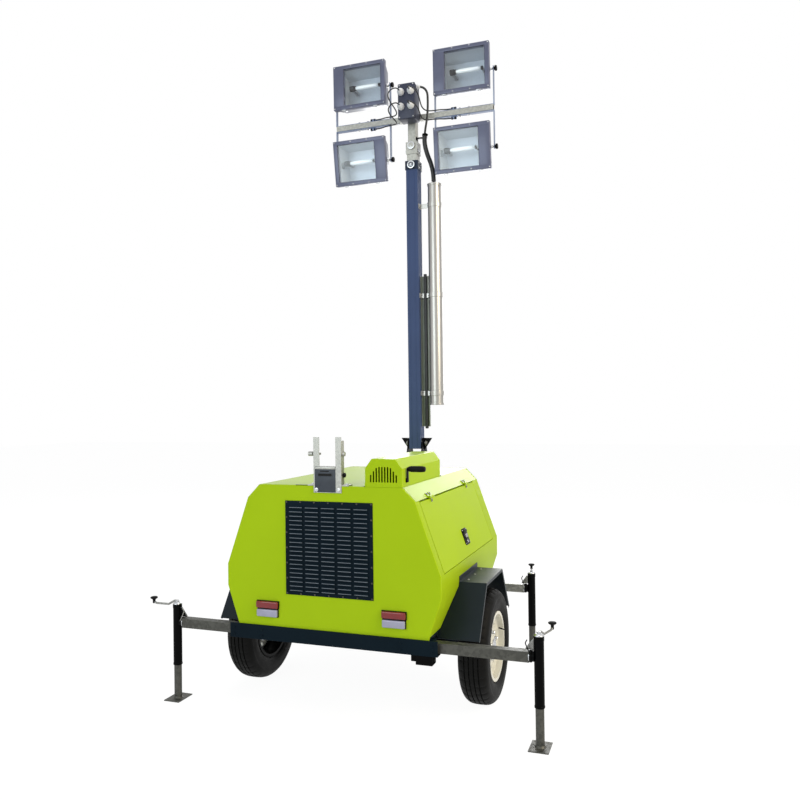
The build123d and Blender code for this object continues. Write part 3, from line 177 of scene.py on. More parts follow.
def clear_glass(name, colour, roughness):
    """Glass that lets light reach what is behind it."""
    made = surface(name, colour, 0.97, 0.0, (roughness, roughness + 0.03), patch=4, grain=60, bump=0.015)
    tree = made.node_tree
    shader = tree.nodes["Principled BSDF"]
    feed(tree, shader, {"Transmission Weight": 1.0, "IOR": 1.45})
    clear = add(tree, "BsdfTransparent", {})
    shadow = add(tree, "LightPath", {}).outputs["Is Shadow Ray"]
    mix = add(tree, "MixShader", {"Fac": shadow, 1: shader.outputs["BSDF"], 2: clear.outputs["BSDF"]})
    feed(tree, tree.nodes["Material Output"], {"Surface": mix.outputs["Shader"]})
    return made


lamp_glass = clear_glass("lamp_glass", (0.88, 0.925, 0.98), 0.02)


# Making pieces
def place(origin, x, z):
    """The matrix that takes local axes to a point, an X direction and a Z direction."""
    x, z = Vector(x).normalized(), Vector(z).normalized()
    y = z.cross(x).normalized()
    at = Matrix((y.cross(z), y, z)).transposed().to_4x4()
    at.translation = Vector(origin)
    return at


def facing(origin, axis):
    """The matrix whose Z runs along an axis from a point."""
    axis = Vector(axis).normalized()
    side = Vector((1, 0, 0)) if abs(axis.x) < 0.8 else Vector((0, 1, 0))
    return place(origin, side, axis)


def rounded(points, radius, steps=6):
    """A run of points with its corners turned into arcs."""
    points = [Vector(p) for p in points]
    out = [points[0]]
    for before, corner, after in zip(points, points[1:], points[2:]):
        a, b = (before - corner).normalized(), (after - corner).normalized()
        half = a.angle(b) / 2
        cut = min(radius / math.tan(half), 0.45 * (before - corner).length, 0.45 * (after - corner).length)
        reach = cut * math.tan(half)
        centre = corner + (a + b).normalized() * (cut / math.cos(half))
        start, end = corner + a * cut - centre, corner + b * cut - centre
        for i in range(steps + 1):
            out.append(centre + start.slerp(end, i / steps).normalized() * reach)
    return out + [points[-1]]


def arc(x, y, radius, start, count):
    """Points every 15 degrees round a centre, from a start in degrees."""
    turns = [math.radians(start + 15 * k) for k in range(count)]
    return [(x + radius * math.cos(t), y + radius * math.sin(t)) for t in turns]


def settle(piece, body, surfaces, stands_for=(), angle=35.0):
    """Smooth a piece, give it its materials and its body, and hide the CAD parts it stands for."""
    mesh = piece.data
    show(piece)
    for made in surfaces:
        mesh.materials.append(made)
    if piece.type == "MESH":
        mesh.shade_smooth()
        mesh.set_sharp_from_angle(angle=math.radians(angle))
    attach(piece, body)
    if stands_for:
        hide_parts(*stands_for)
    return piece


class Shape:
    """A mesh made of plain solids. Each is drawn in the axes that `at` gives."""

    def __init__(self, at=None):
        self.mesh = bmesh.new()
        self.at = at or Matrix.Identity(4)
        self.paint = 0

    def faces(self, points, loops):
        corners = [self.mesh.verts.new(self.at @ Vector(p)) for p in points]
        made = [self.mesh.faces.new([corners[i] for i in loop]) for loop in loops]
        for face in made:
            face.material_index = self.paint
        return made

    def bevel(self, made, edge, steps=2):
        if edge:
            edges = list({e for face in made for e in face.edges if e.is_manifold})
            bmesh.ops.bevel(self.mesh, geom=edges, offset=edge, segments=steps, affect="EDGES", profile=0.5)

    def box(self, low, high, edge=0.0, steps=2):
        points = [(x, y, z) for z in (low[2], high[2]) for y in (low[1], high[1]) for x in (low[0], high[0])]
        loops = [(0, 2, 3, 1), (4, 5, 7, 6), (0, 1, 5, 4), (2, 6, 7, 3), (0, 4, 6, 2), (1, 3, 7, 5)]
        self.bevel(self.faces(points, loops), edge, steps)

    def prism(self, outline, low, high, edge=0.0, steps=2):
        count = len(outline)
        points = [(x, y, low) for x, y in outline] + [(x, y, high) for x, y in outline]
        loops = [tuple(reversed(range(count))), tuple(range(count, 2 * count))]
        loops += [(i, (i + 1) % count, count + (i + 1) % count, count + i) for i in range(count)]
        self.bevel(self.faces(points, loops), edge, steps)

    def turned(self, profile, steps=24):
        """A lathe that is closed to its axis at both ends."""
        last_z, last_r = profile[-1]
        self.lathe([(profile[0][0], 0), *profile] + ([(last_z, 0)] if last_r else []), steps)

    def lathe(self, profile, steps=24):
        rings = []
        for z, r in profile:
            count = 1 if r < 1e-6 else steps
            angles = [2 * math.pi * i / steps for i in range(count)]
            spots = [self.at @ Vector((r * math.cos(t), r * math.sin(t), z)) for t in angles]
            rings.append([self.mesh.verts.new(spot) for spot in spots])
        for low, high in zip(rings, rings[1:]):
            for i in range(steps):
                j = (i + 1) % steps
                quad = [low[i % len(low)], low[j % len(low)], high[j % len(high)], high[i % len(high)]]
                corners = list(dict.fromkeys(quad))
                if len(corners) > 2:
                    self.mesh.faces.new(corners).material_index = self.paint

    def bolt(self, size, washer=True):
        """A hexagon head on its washer, with size across its corners."""
        if washer:
            self.turned([(0, 0.72 * size), (0.1 * size, 0.72 * size), (0.12 * size, 0.68 * size)], 20)
        self.turned([(0.1 * size, 0.5 * size), (0.4 * size, 0.5 * size), (0.46 * size, 0.43 * size)], 6)

    def screw(self, size):
        """A pan head with a round recess."""
        half = size / 2
        self.turned([
            (0, half), (0.2 * half, half), (0.55 * half, 0.75 * half), (0.7 * half, 0.34 * half),
            (0.4 * half, 0.2 * half),
        ], 14)

    def bolts(self, size, way, spots, washer=True):
        """Bolts at points, all facing one way."""
        for spot in spots:
            self.at = facing(spot, way)
            self.bolt(size, washer)

    def screws(self, size, way, spots):
        """Screws at points, all facing one way."""
        for spot in spots:
            self.at = facing(spot, way)
            self.screw(size)

    def pipe(self, points, radius, steps=12):
        points = [self.at @ Vector(p) for p in points]
        normal = None
        rings = []
        for i, point in enumerate(points):
            ahead_of = points[min(i + 1, len(points) - 1)] - points[max(i - 1, 0)]
            tangent = ahead_of.normalized()
            if normal is None:
                normal = tangent.orthogonal()
            normal = (normal - tangent * normal.dot(tangent)).normalized()
            other = tangent.cross(normal)
            angles = [2 * math.pi * k / steps for k in range(steps)]
            spots = [point + (normal * math.cos(t) + other * math.sin(t)) * radius for t in angles]
            rings.append([self.mesh.verts.new(spot) for spot in spots])
        for low, high in zip(rings, rings[1:]):
            for i in range(steps):
                j = (i + 1) % steps
                self.mesh.faces.new((low[i], low[j], high[j], high[i])).material_index = self.paint
        for end in (list(reversed(rings[0])), rings[-1]):
            self.mesh.faces.new(end).material_index = self.paint

    def done(self, name, body, *surfaces, slot="galvanised", stands_for=(), angle=35.0):
        bmesh.ops.recalc_face_normals(self.mesh, faces=self.mesh.faces)
        mesh = bpy.data.meshes.new(name)
        self.mesh.to_mesh(mesh)
        self.mesh.free()
        return settle(bpy.data.objects.new(name, mesh), body, surfaces, stands_for, angle)


def soften(node, made, edge):
    """Stand a copy of a CAD node in for it, with its sharp edges rounded as pressed or cut metal's are."""
    shape = bmesh.new()
    shape.from_mesh(nodes[node].data)
    bmesh.ops.remove_doubles(shape, verts=shape.verts, dist=2e-5)
    bmesh.ops.dissolve_limit(
        shape, angle_limit=math.radians(0.6), use_dissolve_boundaries=False, verts=shape.verts, edges=shape.edges
    )
    mesh = bpy.data.meshes.new(node + "_form")
    shape.to_mesh(mesh)
    shape.free()
    piece = bpy.data.objects.new(node + "_form", mesh)
    show(piece)
    bevel = piece.modifiers.new("edges", "BEVEL")
    bevel.width = edge
    bevel.segments = 2
    bevel.limit_method = "ANGLE"
    bevel.angle_limit = math.radians(28.0)
    mesh.shade_smooth()
    weighted = piece.modifiers.new("shading", "WEIGHTED_NORMAL")
    weighted.weight = 80
    graph = bpy.context.evaluated_depsgraph_get()
    piece.data = bpy.data.meshes.new_from_object(piece.evaluated_get(graph))
    piece.modifiers.clear()
    piece.data.materials.clear()
    piece.data.materials.append(made)
    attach(piece, body_of[node])
    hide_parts(node)
    return piece


# Cables at the mast's head: up from the cable tube to the box, and from the box to each lamp
mast_route = (
    (158, 0, -509), (158, 0, -440), (146, -16, -362), (120, -38, -288),
    (105, -54, -210), (114, -64, -130), (132, -70, -50), (141, -72, 30),
    (142, -73, 98), (141, -76, 150), (125, -85, 180), (97, -92, 196),
    (65, -92, 196),
)
upper_route = (
    (38, -200, 150), (38, -232, 150), (52, -262, 143), (82, -272, 128),
    (108, -252, 108), (114, -210, 88), (108, -160, 68), (101, -108, 50),
    (104, -64, 39), (124, -34, 33), (164, -26, 31), (214, -20, 34),
    (262, 0, 35), (300, 0, 35),
)
lower_route = (
    (38, -200, 42), (38, -232, 42), (54, -260, 36), (84, -268, 20),
    (108, -246, 0), (113, -204, -16), (107, -154, -28), (101, -104, -36),
    (105, -62, -38), (125, -34, -34), (165, -26, -32), (214, -20, -34),
    (262, 0, -35), (300, 0, -35),
)
cable_table = (
    # name, side, diameter, length, route
    ("mast_cable", 1, 0.016, 0.772, mast_route),
    ("lamp_cable_upper_left", -1, 0.009, 0.55, upper_route),
    ("lamp_cable_upper_right", 1, 0.009, 0.55, upper_route),
    ("lamp_cable_lower_left", -1, 0.009, 0.534, lower_route),
    ("lamp_cable_lower_right", 1, 0.009, 0.534, lower_route),
)


def along(route, side=1):
    """The places on a route, which is in millimetres from the middle of the light bar."""
    return [Vector((side * x / 1000, mast_y + y / 1000, bar_z + z / 1000)) for x, y, z in route]


def drawn(name, points):
    """A smooth curve that a run of points controls."""
    curve = bpy.data.curves.new(name, "CURVE")
    curve.dimensions = "3D"
    curve.resolution_u = 12
    spline = curve.splines.new("NURBS")
    spline.points.add(len(points) - 1)
    for point, spot in zip(spline.points, points):
        point.co = (*spot, 1.0)
    spline.order_u = 3
    spline.use_endpoint_u = True
    return curve


for name, side, diameter, length, route in cable_table:
    points = along(route, side)
    curve = drawn(name + "_cord", points)
    curve.bevel_depth = diameter / 2
    curve.bevel_resolution = 5
    curve.use_fill_caps = True
    cord = settle(bpy.data.objects.new(name + "_cord", curve), "mast_top", [cable_black], [name])

# The hose that the mast cable wears between its bracket and the cable tube
bare = bpy.data.objects.new("hose_line", drawn("hose_line", along(mast_route)))
line = bpy.data.meshes.new_from_object(bare)
hose_top_z = 3.772
hose_run = [vertex.co.copy() for vertex in line.vertices if vertex.co.z < hose_top_z][2:]
hose = Shape()
hose.pipe(hose_run, 0.0165, 24)
hose.done("mast_hose", "mast_top", cable_black, slot="cable_black", angle=60)
hose_end = hose_run[-1]
bracket = Shape(place((0.031, mast_y - 0.006, hose_end.z - 0.01), (1, 0, 0), (0, 0, 1)))
bracket.box((-0.0008, -0.02, -0.013), (0.0025, 0.026, 0.013), 0.0008)
bracket.box((0.0, -0.022, -0.002), (hose_end.x - 0.031, 0.008, 0.002), 0.0008)
bracket.at = facing(hose_end + Vector((0, 0, -0.018)), (0, 0, 1))
bracket.lathe([(0, 0.0155), (0, 0.0192), (0.001, 0.0202), (0.015, 0.0202), (0.016, 0.0192), (0.016, 0.0155)], 30)
bracket.at = facing(hose_end + Vector((0.0195, 0, -0.01)), (1, 0, 0))
bracket.bolt(0.009)
bracket.done("hose_bracket", "mast_top", black_metal, slot="black_metal")

# Painted and galvanised metalwork: CAD shapes with rounded edges
forms = {}
for made, edge, members in (
    (navy, 0.0006, "grille"),
    (navy, 0.0012, "outrigger_sleeves axle"),
    (navy, 0.0015, "body_floor frame_rails frame_cross rear_channel"),
    (navy, 0.0025, "drawbar"),
    (green, 0.0014, "door_left door_right"),
    (green, 0.0022, "roof_hood"),
    (green, 0.0025, "body_sides"),
    (green, 0.0035, "body_rear body_front"),
    (roof_green, 0.0012, "body_roof"),
    (charcoal, 0.0015, "mudguards"),
    (zinc, 0.0015, "coupler"),
    (zinc, 0.0025, "beam_front_left beam_front_right"),
    (pale_zinc, 0.0012, "mast_cradle"),
    (pale_zinc, 0.0022, "light_bar"),
    (pale_zinc, 0.003, "mast_middle mast_top"),
    (dark_zinc, 0.0015, "leg_rear_left leg_rear_right leg_front_left leg_front_right"),
    (dark_zinc, 0.0025, "beam_rear_left beam_rear_right"),
    (black_metal, 0.0015, "mast_support"),
    (engine_grey, 0.012, "engine_block"),
    (rim_cream, 0.0012, "rim_left rim_right"),
    (mast_blue, 0.0045, "mast_outer"),
    (brushed, 0.0012, "cable_tube"),
    (pale_blue, 0.001, "lamp_yokes"),
):
    for node in members.split():
        forms[node] = soften(node, made, edge)


def repaint(node, made, test):
    """Give the faces of a form that pass a test a paint of their own."""
    mesh = forms[node].data
    mesh.materials.append(made)
    for face in mesh.polygons:
        if test(face.center):
            face.material_index = len(mesh.materials) - 1


# The wheels' inboard sides are painted black as painted shade, the hood's top takes the roof's glossier paint, and the
# mast's head is painted dark
repaint("rim_left", black_metal, lambda at: at.x > 0.01 - wheel_x)
repaint("rim_right", black_metal, lambda at: at.x < wheel_x - 0.01)
hood_top = max(vertex.co.z for vertex in forms["roof_hood"].data.vertices)
repaint("roof_hood", roof_green, lambda at: at.z > hood_top - 0.012)
repaint("mast_outer", mast_dark, lambda at: at.z > 3.5215)

# Tyres: a lathed carcass whose tread is cut by grooves round it and sipes across it
half = 0.089
carcass = [
    # from the wheel's middle, radius
    (0.066, 0.1905), (0.0685, 0.1925), (0.069, 0.202), (0.077, 0.209), (0.0835, 0.22), (0.0868, 0.233),
    (0.0884, 0.236), (0.0882, 0.242), (0.0888, 0.244), (0.0889, 0.256), (0.088, 0.27), (0.0862, 0.283),
    (0.0868, 0.285), (0.084, 0.296), (0.082, 0.301), (0.0765, 0.309),
]
tread = [
    # from the wheel's middle, radius, depth that a sipe takes
    (0.07, 0.3155, 0.003), (0.062, 0.3215, 0.004), (0.053, 0.3262, 0.004), (0.043, 0.3292, 0.003),
    (0.042, 0.322, 0.0), (0.037, 0.322, 0.0), (0.036, 0.3304, 0.003), (0.027, 0.3312, 0.003),
    (0.017, 0.3316, 0.003), (0.016, 0.323, 0.0), (0.011, 0.323, 0.0), (0.01, 0.332, 0.003),
]
section = [(x, r, 0.0) for x, r in carcass] + tread
section += [(-x, r, cut) for x, r, cut in reversed(section)]
inner = [(-0.056, 0.1905, 0.0), (-0.06, 0.205, 0.0), (-0.075, 0.25, 0.0), (-0.049, 0.312, 0.0)]
section += inner + [(-x, r, cut) for x, r, cut in reversed(inner)]
steps = 216
for side, name in sides:
    tyre = Shape()
    grid = []
    for i in range(steps):
        ring = []
        for x, r, cut in section:
            stagger = 2 if x > 0 else 0
            deep = cut if (i + stagger) % 6 == 0 else 0.0
            skew = 0.01 * math.copysign(1, x) * (abs(x) / half) if cut else 0.0
            t = 2 * math.pi * i / steps + skew
            spot = (side * wheel_x + x, axle_y + (r - deep) * math.cos(t), tyre_radius + (r - deep) * math.sin(t))
            ring.append(tyre.mesh.verts.new(spot))
        grid.append(ring)
    for i in range(steps):
        here, there = grid[i], grid[(i + 1) % steps]
        for k in range(len(section)):
            n = (k + 1) % len(section)
            tyre.mesh.faces.new((here[k], there[k], there[n], here[n]))
    tyre.done(f"tyre_{name}_tread", f"wheel_{name}", rubber, slot="tyre_rubber", stands_for=[f"tyre_{name}"], angle=30)

    # Nuts, centre cap and valve
    nuts = Shape()
    for i in range(5):
        t = math.radians(90 + 72 * i)
        seat = (side * (wheel_x + 0.0438), axle_y + 0.078 * math.cos(t), tyre_radius + 0.078 * math.sin(t))
        nuts.at = facing(seat, (side, 0, 0))
        nuts.turned([(0, 0.0115), (0.004, 0.0115), (0.006, 0.01), (0.016, 0.01), (0.019, 0.007), (0.0195, 0)], 6)
    nuts.at = facing((side * (wheel_x + 0.052), axle_y, tyre_radius), (side, 0, 0))
    nuts.turned([(0, 0.038), (0.006, 0.038), (0.01, 0.034), (0.013, 0.02), (0.014, 0)], 40)
    nuts.done(f"wheel_nuts_{name}", f"wheel_{name}", bright, slot="rim_white")
    stem = (side * (wheel_x + 0.07), axle_y + 0.15, tyre_radius + 0.06)
    valve = Shape(place(stem, (0, 0.37, -0.93), (side, -0.3, -0.12)))
    valve.turned([
        (-0.02, 0.0045), (0.004, 0.0045), (0.006, 0.003), (0.013, 0.003), (0.013, 0.0042), (0.02, 0.0038),
        (0.021, 0),
    ], 14)
    valve.done(f"tyre_valve_{name}", f"wheel_{name}", black_plastic, slot="tyre_rubber")

# Lamps: a folded housing, a hammered reflector, a trim frame with screws and catches, and a tube in its sockets
lamp_half_x, lamp_half_y, trim_rear_z, trim_front_z = 0.21, 0.1675, 0.053, 0.095
yoke_reach = lamp_half_x + 0.015
lamp_table = (
    # name, side, up or down from the bar, tilt of the face in degrees
    ("upper_left", -1, 1, 1.0),
    ("upper_right", 1, 1, 1.0),
    ("lower_left", -1, -1, 9.0),
    ("lower_right", 1, -1, 6.0),
)


def ring_of(half_x, half_y, z, shift=0.0):
    """The four corners of a rectangle across a lamp."""
    return [(shift + x * half_x, y * half_y, z) for x, y in ((-1, -1), (1, -1), (1, 1), (-1, 1))]


for name, side, upper, tilt in lamp_table:
    lean = math.radians(tilt)
    axis = (side * 0.4, mast_y, bar_z + upper * 0.285)
    at = place(axis, (1, 0, 0), (0, -math.cos(lean), -math.sin(lean)))
    body = f"lamp_{name}"
    shift = upper * 0.026

    housing = Shape(at)
    back = ring_of(0.165, 0.12, -0.097)
    waist = ring_of(0.176, 0.132, -0.078)
    lip = ring_of(0.202, 0.1595, 0.053)
    loops = [(3, 2, 1, 0)]
    for base in (0, 4):
        loops += [(base + i, base + (i + 1) % 4, base + 4 + (i + 1) % 4, base + 4 + i) for i in range(4)]
    made = housing.faces(back + waist + lip, loops)
    housing.bevel(made, 0.004, 3)
    # Pressed ribs across the back
    for rib in range(5):
        y = -0.076 + rib * 0.038
        housing.box((-0.12, y - 0.005, -0.1005), (0.12, y + 0.005, -0.096), 0.0018)
    housing.done(f"lamp_housing_{name}", body, housing_blue, slot="lamp_metal", stands_for=[f"lamp_{name}"])

    # The window's well: a rear wall and bowed, sloping sides
    well = Shape(at)
    cells = 14
    front, rear = ring_of(0.154, 0.142, 0.0835, shift), ring_of(0.158, 0.112, -0.088)
    for k in range(4):
        a, b, c, d = (Vector(front[k]), Vector(front[(k + 1) % 4]), Vector(rear[(k + 1) % 4]), Vector(rear[k]))
        rows = []
        for i in range(cells + 1):
            u = i / cells
            row = []
            for j in range(cells + 1):
                v = j / cells
                bulge = 0.01 * math.sin(math.pi * v) ** 2
                spot = (a.lerp(b, u)).lerp(d.lerp(c, u), v)
                spot += Vector((spot.x - shift * (1 - v), spot.y, 0)).normalized() * bulge
                row.append(well.mesh.verts.new(at @ spot))
            rows.append(row)
        for i in range(cells):
            for j in range(cells):
                well.mesh.faces.new((rows[i][j], rows[i + 1][j], rows[i + 1][j + 1], rows[i][j + 1]))
    well.faces(rear, [(3, 2, 1, 0)])
    bmesh.ops.remove_doubles(well.mesh, verts=well.mesh.verts, dist=1e-5)
    well.done(f"lamp_reflector_{name}", body, reflector, slot="lamp_metal", angle=50)

    trim = Shape(at)
    inner_x, inner_y = 0.15, 0.138
    for low, high in (
        ((-lamp_half_x, -lamp_half_y, trim_rear_z), (lamp_half_x, -inner_y, trim_front_z)),
        ((-lamp_half_x, inner_y, trim_rear_z), (lamp_half_x, lamp_half_y, trim_front_z)),
        ((-lamp_half_x, -inner_y - 0.004, trim_rear_z), (shift - inner_x, inner_y + 0.004, 0.0945)),
        ((shift + inner_x, -inner_y - 0.004, trim_rear_z), (lamp_half_x, inner_y + 0.004, 0.0945)),
    ):
        trim.box(low, high, 0.0035, 3)
    trim.done(f"lamp_trim_{name}", body, lamp_trim, slot="lamp_metal")

    # A dark gasket round the glass, trim screws and catches
    gasket = Shape(at)
    for low, high in (
        ((shift - 0.157, -0.145, 0.0885), (shift + 0.157, -0.1375, 0.0925)),
        ((shift - 0.157, 0.1375, 0.0885), (shift + 0.157, 0.145, 0.0925)),
        ((shift - 0.157, -0.145, 0.0885), (shift - 0.1495, 0.145, 0.0925)),
        ((shift + 0.1495, -0.145, 0.0885), (shift + 0.157, 0.145, 0.0925)),
    ):
        gasket.box(low, high, 0.001)
    gasket.done(f"lamp_gasket_{name}", body, seal_and_shade_black, slot="lamp_metal")
    small = Shape(at)
    for x, y in [(x * way, y) for x in (0.2, 0.065) for y in (-0.157, 0.157) for way in (-1, 1)]:
        small.at = at @ Matrix.Translation((x, y, 0.0945))
        small.screw(0.01)
    for x in (-0.13, 0.13):
        small.at = at
        small.box((x - 0.017, -0.1705, 0.045), (x + 0.017, -0.165, 0.088), 0.0015)
        bail = [(x + dx, y, z) for dx, y, z in (
            (-0.012, -0.168, 0.086), (-0.012, -0.173, 0.062), (0.012, -0.173, 0.062), (0.012, -0.168, 0.086),
        )]
        small.pipe(rounded(bail, 0.004), 0.0018, 8)
    small.done(f"lamp_screws_{name}", body, bright, slot="lamp_metal")

    # The tube between its two holders, each on a bracket from the back
    start = shift - 0.123
    socket = Shape(at @ place((start, 0.006, 0.025), (0, 1, 0), (1, 0, 0)))
    socket.turned([(0, 0.0195), (0.006, 0.021), (0.03, 0.021), (0.034, 0.018), (0.046, 0.017)], 32)
    socket.turned([(0.232, 0.012), (0.236, 0.014), (0.246, 0.014), (0.25, 0.01)])
    socket.at = at
    socket.paint = 1
    socket.box((start + 0.008, -0.01, -0.09), (start + 0.03, 0.012, 0.012), 0.002)
    socket.box((start + 0.236, -0.006, -0.09), (start + 0.246, 0.012, 0.018), 0.0015)
    socket.done(f"lamp_socket_{name}", body, black_plastic, box_grey, slot="lamp_metal")
    bulb = Shape(at @ place((start + 0.046, 0.006, 0.025), (0, 1, 0), (1, 0, 0)))
    bulb.turned([
        (0, 0.011), (0.01, 0.0115), (0.022, 0.0155), (0.034, 0.016), (0.15, 0.016), (0.164, 0.0155),
        (0.178, 0.011), (0.186, 0.005), (0.188, 0),
    ], 32)
    bulb.done(f"lamp_tube_{name}", body, bulb_glass, slot="lamp_glass")

    # Pivot stubs and the clamping knob
    pivot = Shape(facing(axis, (1, 0, 0)))
    stub = yoke_reach - 0.172 + 0.005
    for end in (-1, 1):
        pivot.at = facing((axis[0] + end * 0.172, axis[1], axis[2]), (end, 0, 0))
        pivot.turned([(0, 0.024), (0.012, 0.024), (0.016, 0.016), (0.036, 0.012), (0.04, 0.0088), (stub, 0.0088)])
    pivot.bolts(0.012, (-1, 0, 0), [(axis[0] - yoke_reach, axis[1], axis[2])], False)
    pivot.done(f"lamp_pivot_{name}", body, bright, slot="lamp_metal")
    knob = Shape(facing((axis[0] + yoke_reach + 0.001, axis[1], axis[2]), (1, 0, 0)))
    knob.turned([(0, 0.0125), (0.006, 0.0125), (0.0065, 0.0185), (0.017, 0.0195), (0.02, 0.0175), (0.0205, 0)], 30)
    for lobe in range(6):
        t = math.radians(60 * lobe)
        centre = (axis[0] + yoke_reach + 0.007, axis[1] + 0.0155 * math.cos(t), axis[2] + 0.0155 * math.sin(t))
        knob.at = facing(centre, (1, 0, 0))
        knob.turned([(0, 0.0042), (0.0125, 0.0042), (0.0135, 0)], 12)
    knob.done(f"lamp_knob_{name}", body, black_plastic, slot="black_plastic")
    nodes[f"glass_{name}"].data.materials.clear()
    nodes[f"glass_{name}"].data.materials.append(lamp_glass)

# Junction box: the box and its lid, four glands, the mast cable's gland, and its screws
box = Shape()
pad_y = mast_y - 0.034
box.box((-0.065, pad_y - 0.118, 3.866), (0.065, pad_y, 4.128), 0.009, 4)
box.box((-0.065, pad_y, 3.8945), (0.065, mast_y - 0.02, 3.9335), 0.002)
box.done("junction_box_shell", "mast_top", box_navy, slot="box_grey", stands_for=["junction_box"])
lid = Shape()
lid.box((-0.0645, pad_y - 0.1205, 3.8665), (0.0645, pad_y - 0.1085, 4.1275), 0.005, 3)
lid.done("junction_box_lid", "mast_top", box_navy, slot="box_grey")
line = Shape()
line.box((-0.0652, pad_y - 0.1085, 3.8658), (0.0652, pad_y - 0.1065, 4.1282), 0.0)
line.done("junction_box_seal", "mast_top", seal_and_shade_black, slot="box_grey")
small = Shape()
small.screws(0.011, (0, -1, 0), [(x, pad_y - 0.1205, z) for x in (-0.053, 0.053) for z in (3.879, 4.115)])
small.done("junction_box_screws", "mast_top", bright, slot="box_grey")
glands = Shape()
for x in (-0.038, 0.038):
    for z in (3.956, 4.064):
        glands.at = facing((x, pad_y - 0.12, z), (0, -1, 0))
        glands.turned([(0, 0.0265), (0.004, 0.0265), (0.005, 0.0245), (0.014, 0.0245)], 8)
        glands.lathe([
            (0.013, 0), (0.013, 0.0245), (0.017, 0.025), (0.026, 0.0225), (0.037, 0.015), (0.045, 0.008),
            (0.045, 0.0046), (0.03, 0.0046),
        ], 36)
glands.at = facing((0.065, mast_y - 0.092, bar_z + 0.196), (1, 0, 0))
glands.lathe([(0, 0), (0, 0.019), (0.003, 0.019), (0.004, 0.0165), (0.012, 0.0165), (0.012, 0.0082)], 6)
glands.lathe([
    (0.011, 0.0082), (0.011, 0.0155), (0.016, 0.0155), (0.023, 0.0118), (0.027, 0.0085), (0.027, 0.0082),
], 26)
glands.done("cable_glands", "mast_top", pale_plastic, slot="box_grey")

# Yoke bolts through the bar, connectors' collars, and the bar's end plugs and studs
small = Shape()
for side in (-1, 1):
    for upper in (-1, 1):
        spots = [(side * 0.4 + x, mast_y, bar_z + upper * 0.0248) for x in (-0.035, 0.035)]
        small.bolts(0.019, (0, 0, upper), spots)
    small.bolts(0.017, (0, 0, -1), [(side * x, mast_y - 0.0005, bar_z - 0.02) for x in (0.045, 0.115)])
small.done("bar_bolts", "mast_top", bright)
plugs = Shape()
for side in (-1, 1):
    low_x, high_x = sorted((side * 0.6198, side * 0.6))
    plugs.box((low_x, mast_y - 0.0172, bar_z - 0.0172), (high_x, mast_y + 0.0172, bar_z + 0.0172), 0.002)
    for upper in (-1, 1):
        plugs.at = facing((side * 0.3005, mast_y, bar_z + upper * 0.035), (side, 0, 0))
        plugs.lathe([
            (0, 0.0048), (0, 0.0088), (0.004, 0.0108), (0.012, 0.0108), (0.013, 0.0098), (0.0245, 0.0098),
            (0.0255, 0.0108), (0.0385, 0.0108), (0.039, 0),
        ], 22)
        plugs.at = Matrix.Identity(4)
plugs.done("bar_plugs", "mast_top", black_plastic, slot="black_plastic")

# Mast: strips in its own blue along each face
strips = Shape()
for x in (-0.021, 0.021):
    strips.box((x - 0.0035, mast_y - 0.046, 1.45), (x + 0.0035, mast_y - 0.0445, 3.515), 0.0006)
    strips.box((x - 0.0035, mast_y + 0.0445, 1.45), (x + 0.0035, mast_y + 0.046, 3.515), 0.0006)
for y in (-0.021, 0.021):
    strips.box((-0.046, mast_y + y - 0.0035, 1.45), (-0.0445, mast_y + y + 0.0035, 3.515), 0.0006)
    strips.box((0.0445, mast_y + y - 0.0035, 1.52), (0.046, mast_y + y + 0.0035, 3.515), 0.0006)
strips.done("mast_strips", "mast_outer", mast_blue, slot="mast_blue")

# The cable channel beside the mast: a folded back with two lips, and the flat black conduit in it
channel = Shape()
channel.box((0.0455, mast_y + 0.01, 1.6), (0.108, mast_y + 0.0125, 2.725), 0.0006)
for x in (0.0455, 0.1055):
    channel.box((x, mast_y - 0.008, 1.6), (x + 0.0025, mast_y + 0.011, 2.725), 0.0006)
channel.done("cable_channel", "mast_outer", channel_grey)
conduit = Shape()
conduit.box((0.07, mast_y - 0.006, 1.585), (0.093, mast_y + 0.0105, 2.74), 0.004, 3)
conduit.done("cable_conduit", "mast_outer", cable_black, slot="cable_black")

# The head's bolts and sheave, the collar's rollers, and the cable tube's caps and clamp bolts
heads = Shape()
for side in (-1, 1):
    spots = [(side * 0.05, mast_y + y, z) for z in (3.535, 3.574) for y in (0.028, -0.028)]
    heads.bolts(0.013, (side, 0, 0), spots)
heads.bolts(0.016, (0, -1, 0), [(0, mast_y - 0.0639, 3.5545)], False)
heads.done("mast_head_bolts", "mast_outer", bright)
sheave_profile = [
    (0, 0.0285), (0.003, 0.0285), (0.0055, 0.024), (0.0085, 0.024),
    (0.011, 0.0285), (0.0138, 0.0285), (0.0142, 0.02), (0.012, 0.017), (0.0142, 0.011),
]
sheaves = Shape(facing((0, mast_y - 0.0502, 3.5545), (0, -1, 0)))
sheaves.turned(sheave_profile, 40)
sheaves.done("mast_head_sheave", "mast_outer", bright)
collar = Shape(facing((0, mast_y - 0.0442, 3.701), (0, -1, 0)))
collar.turned(sheave_profile, 40)
for side in (-1, 1):
    for y in (-0.02, 0.02):
        collar.at = facing((side * 0.044, mast_y + y, 3.665), (side, 0, 0))
        collar.turned([(0, 0.013), (0.006, 0.013), (0.008, 0.01)])
collar.done("mast_collar_rollers", "mast_middle", bright)
rings = Shape()
for z, way in ((3.391, 1), (1.774, -1)):
    rings.at = facing((0.162, mast_y, z), (0, 0, way))
    rings.lathe([
        (0.0002, 0.0505), (0.0002, 0.0538), (0.01, 0.0539), (0.0139, 0.051), (0.0139, 0.03), (0.0142, 0.029),
    ], 48)
rings.done("cable_tube_caps", "mast_outer", pale_plastic)
clamps = Shape()
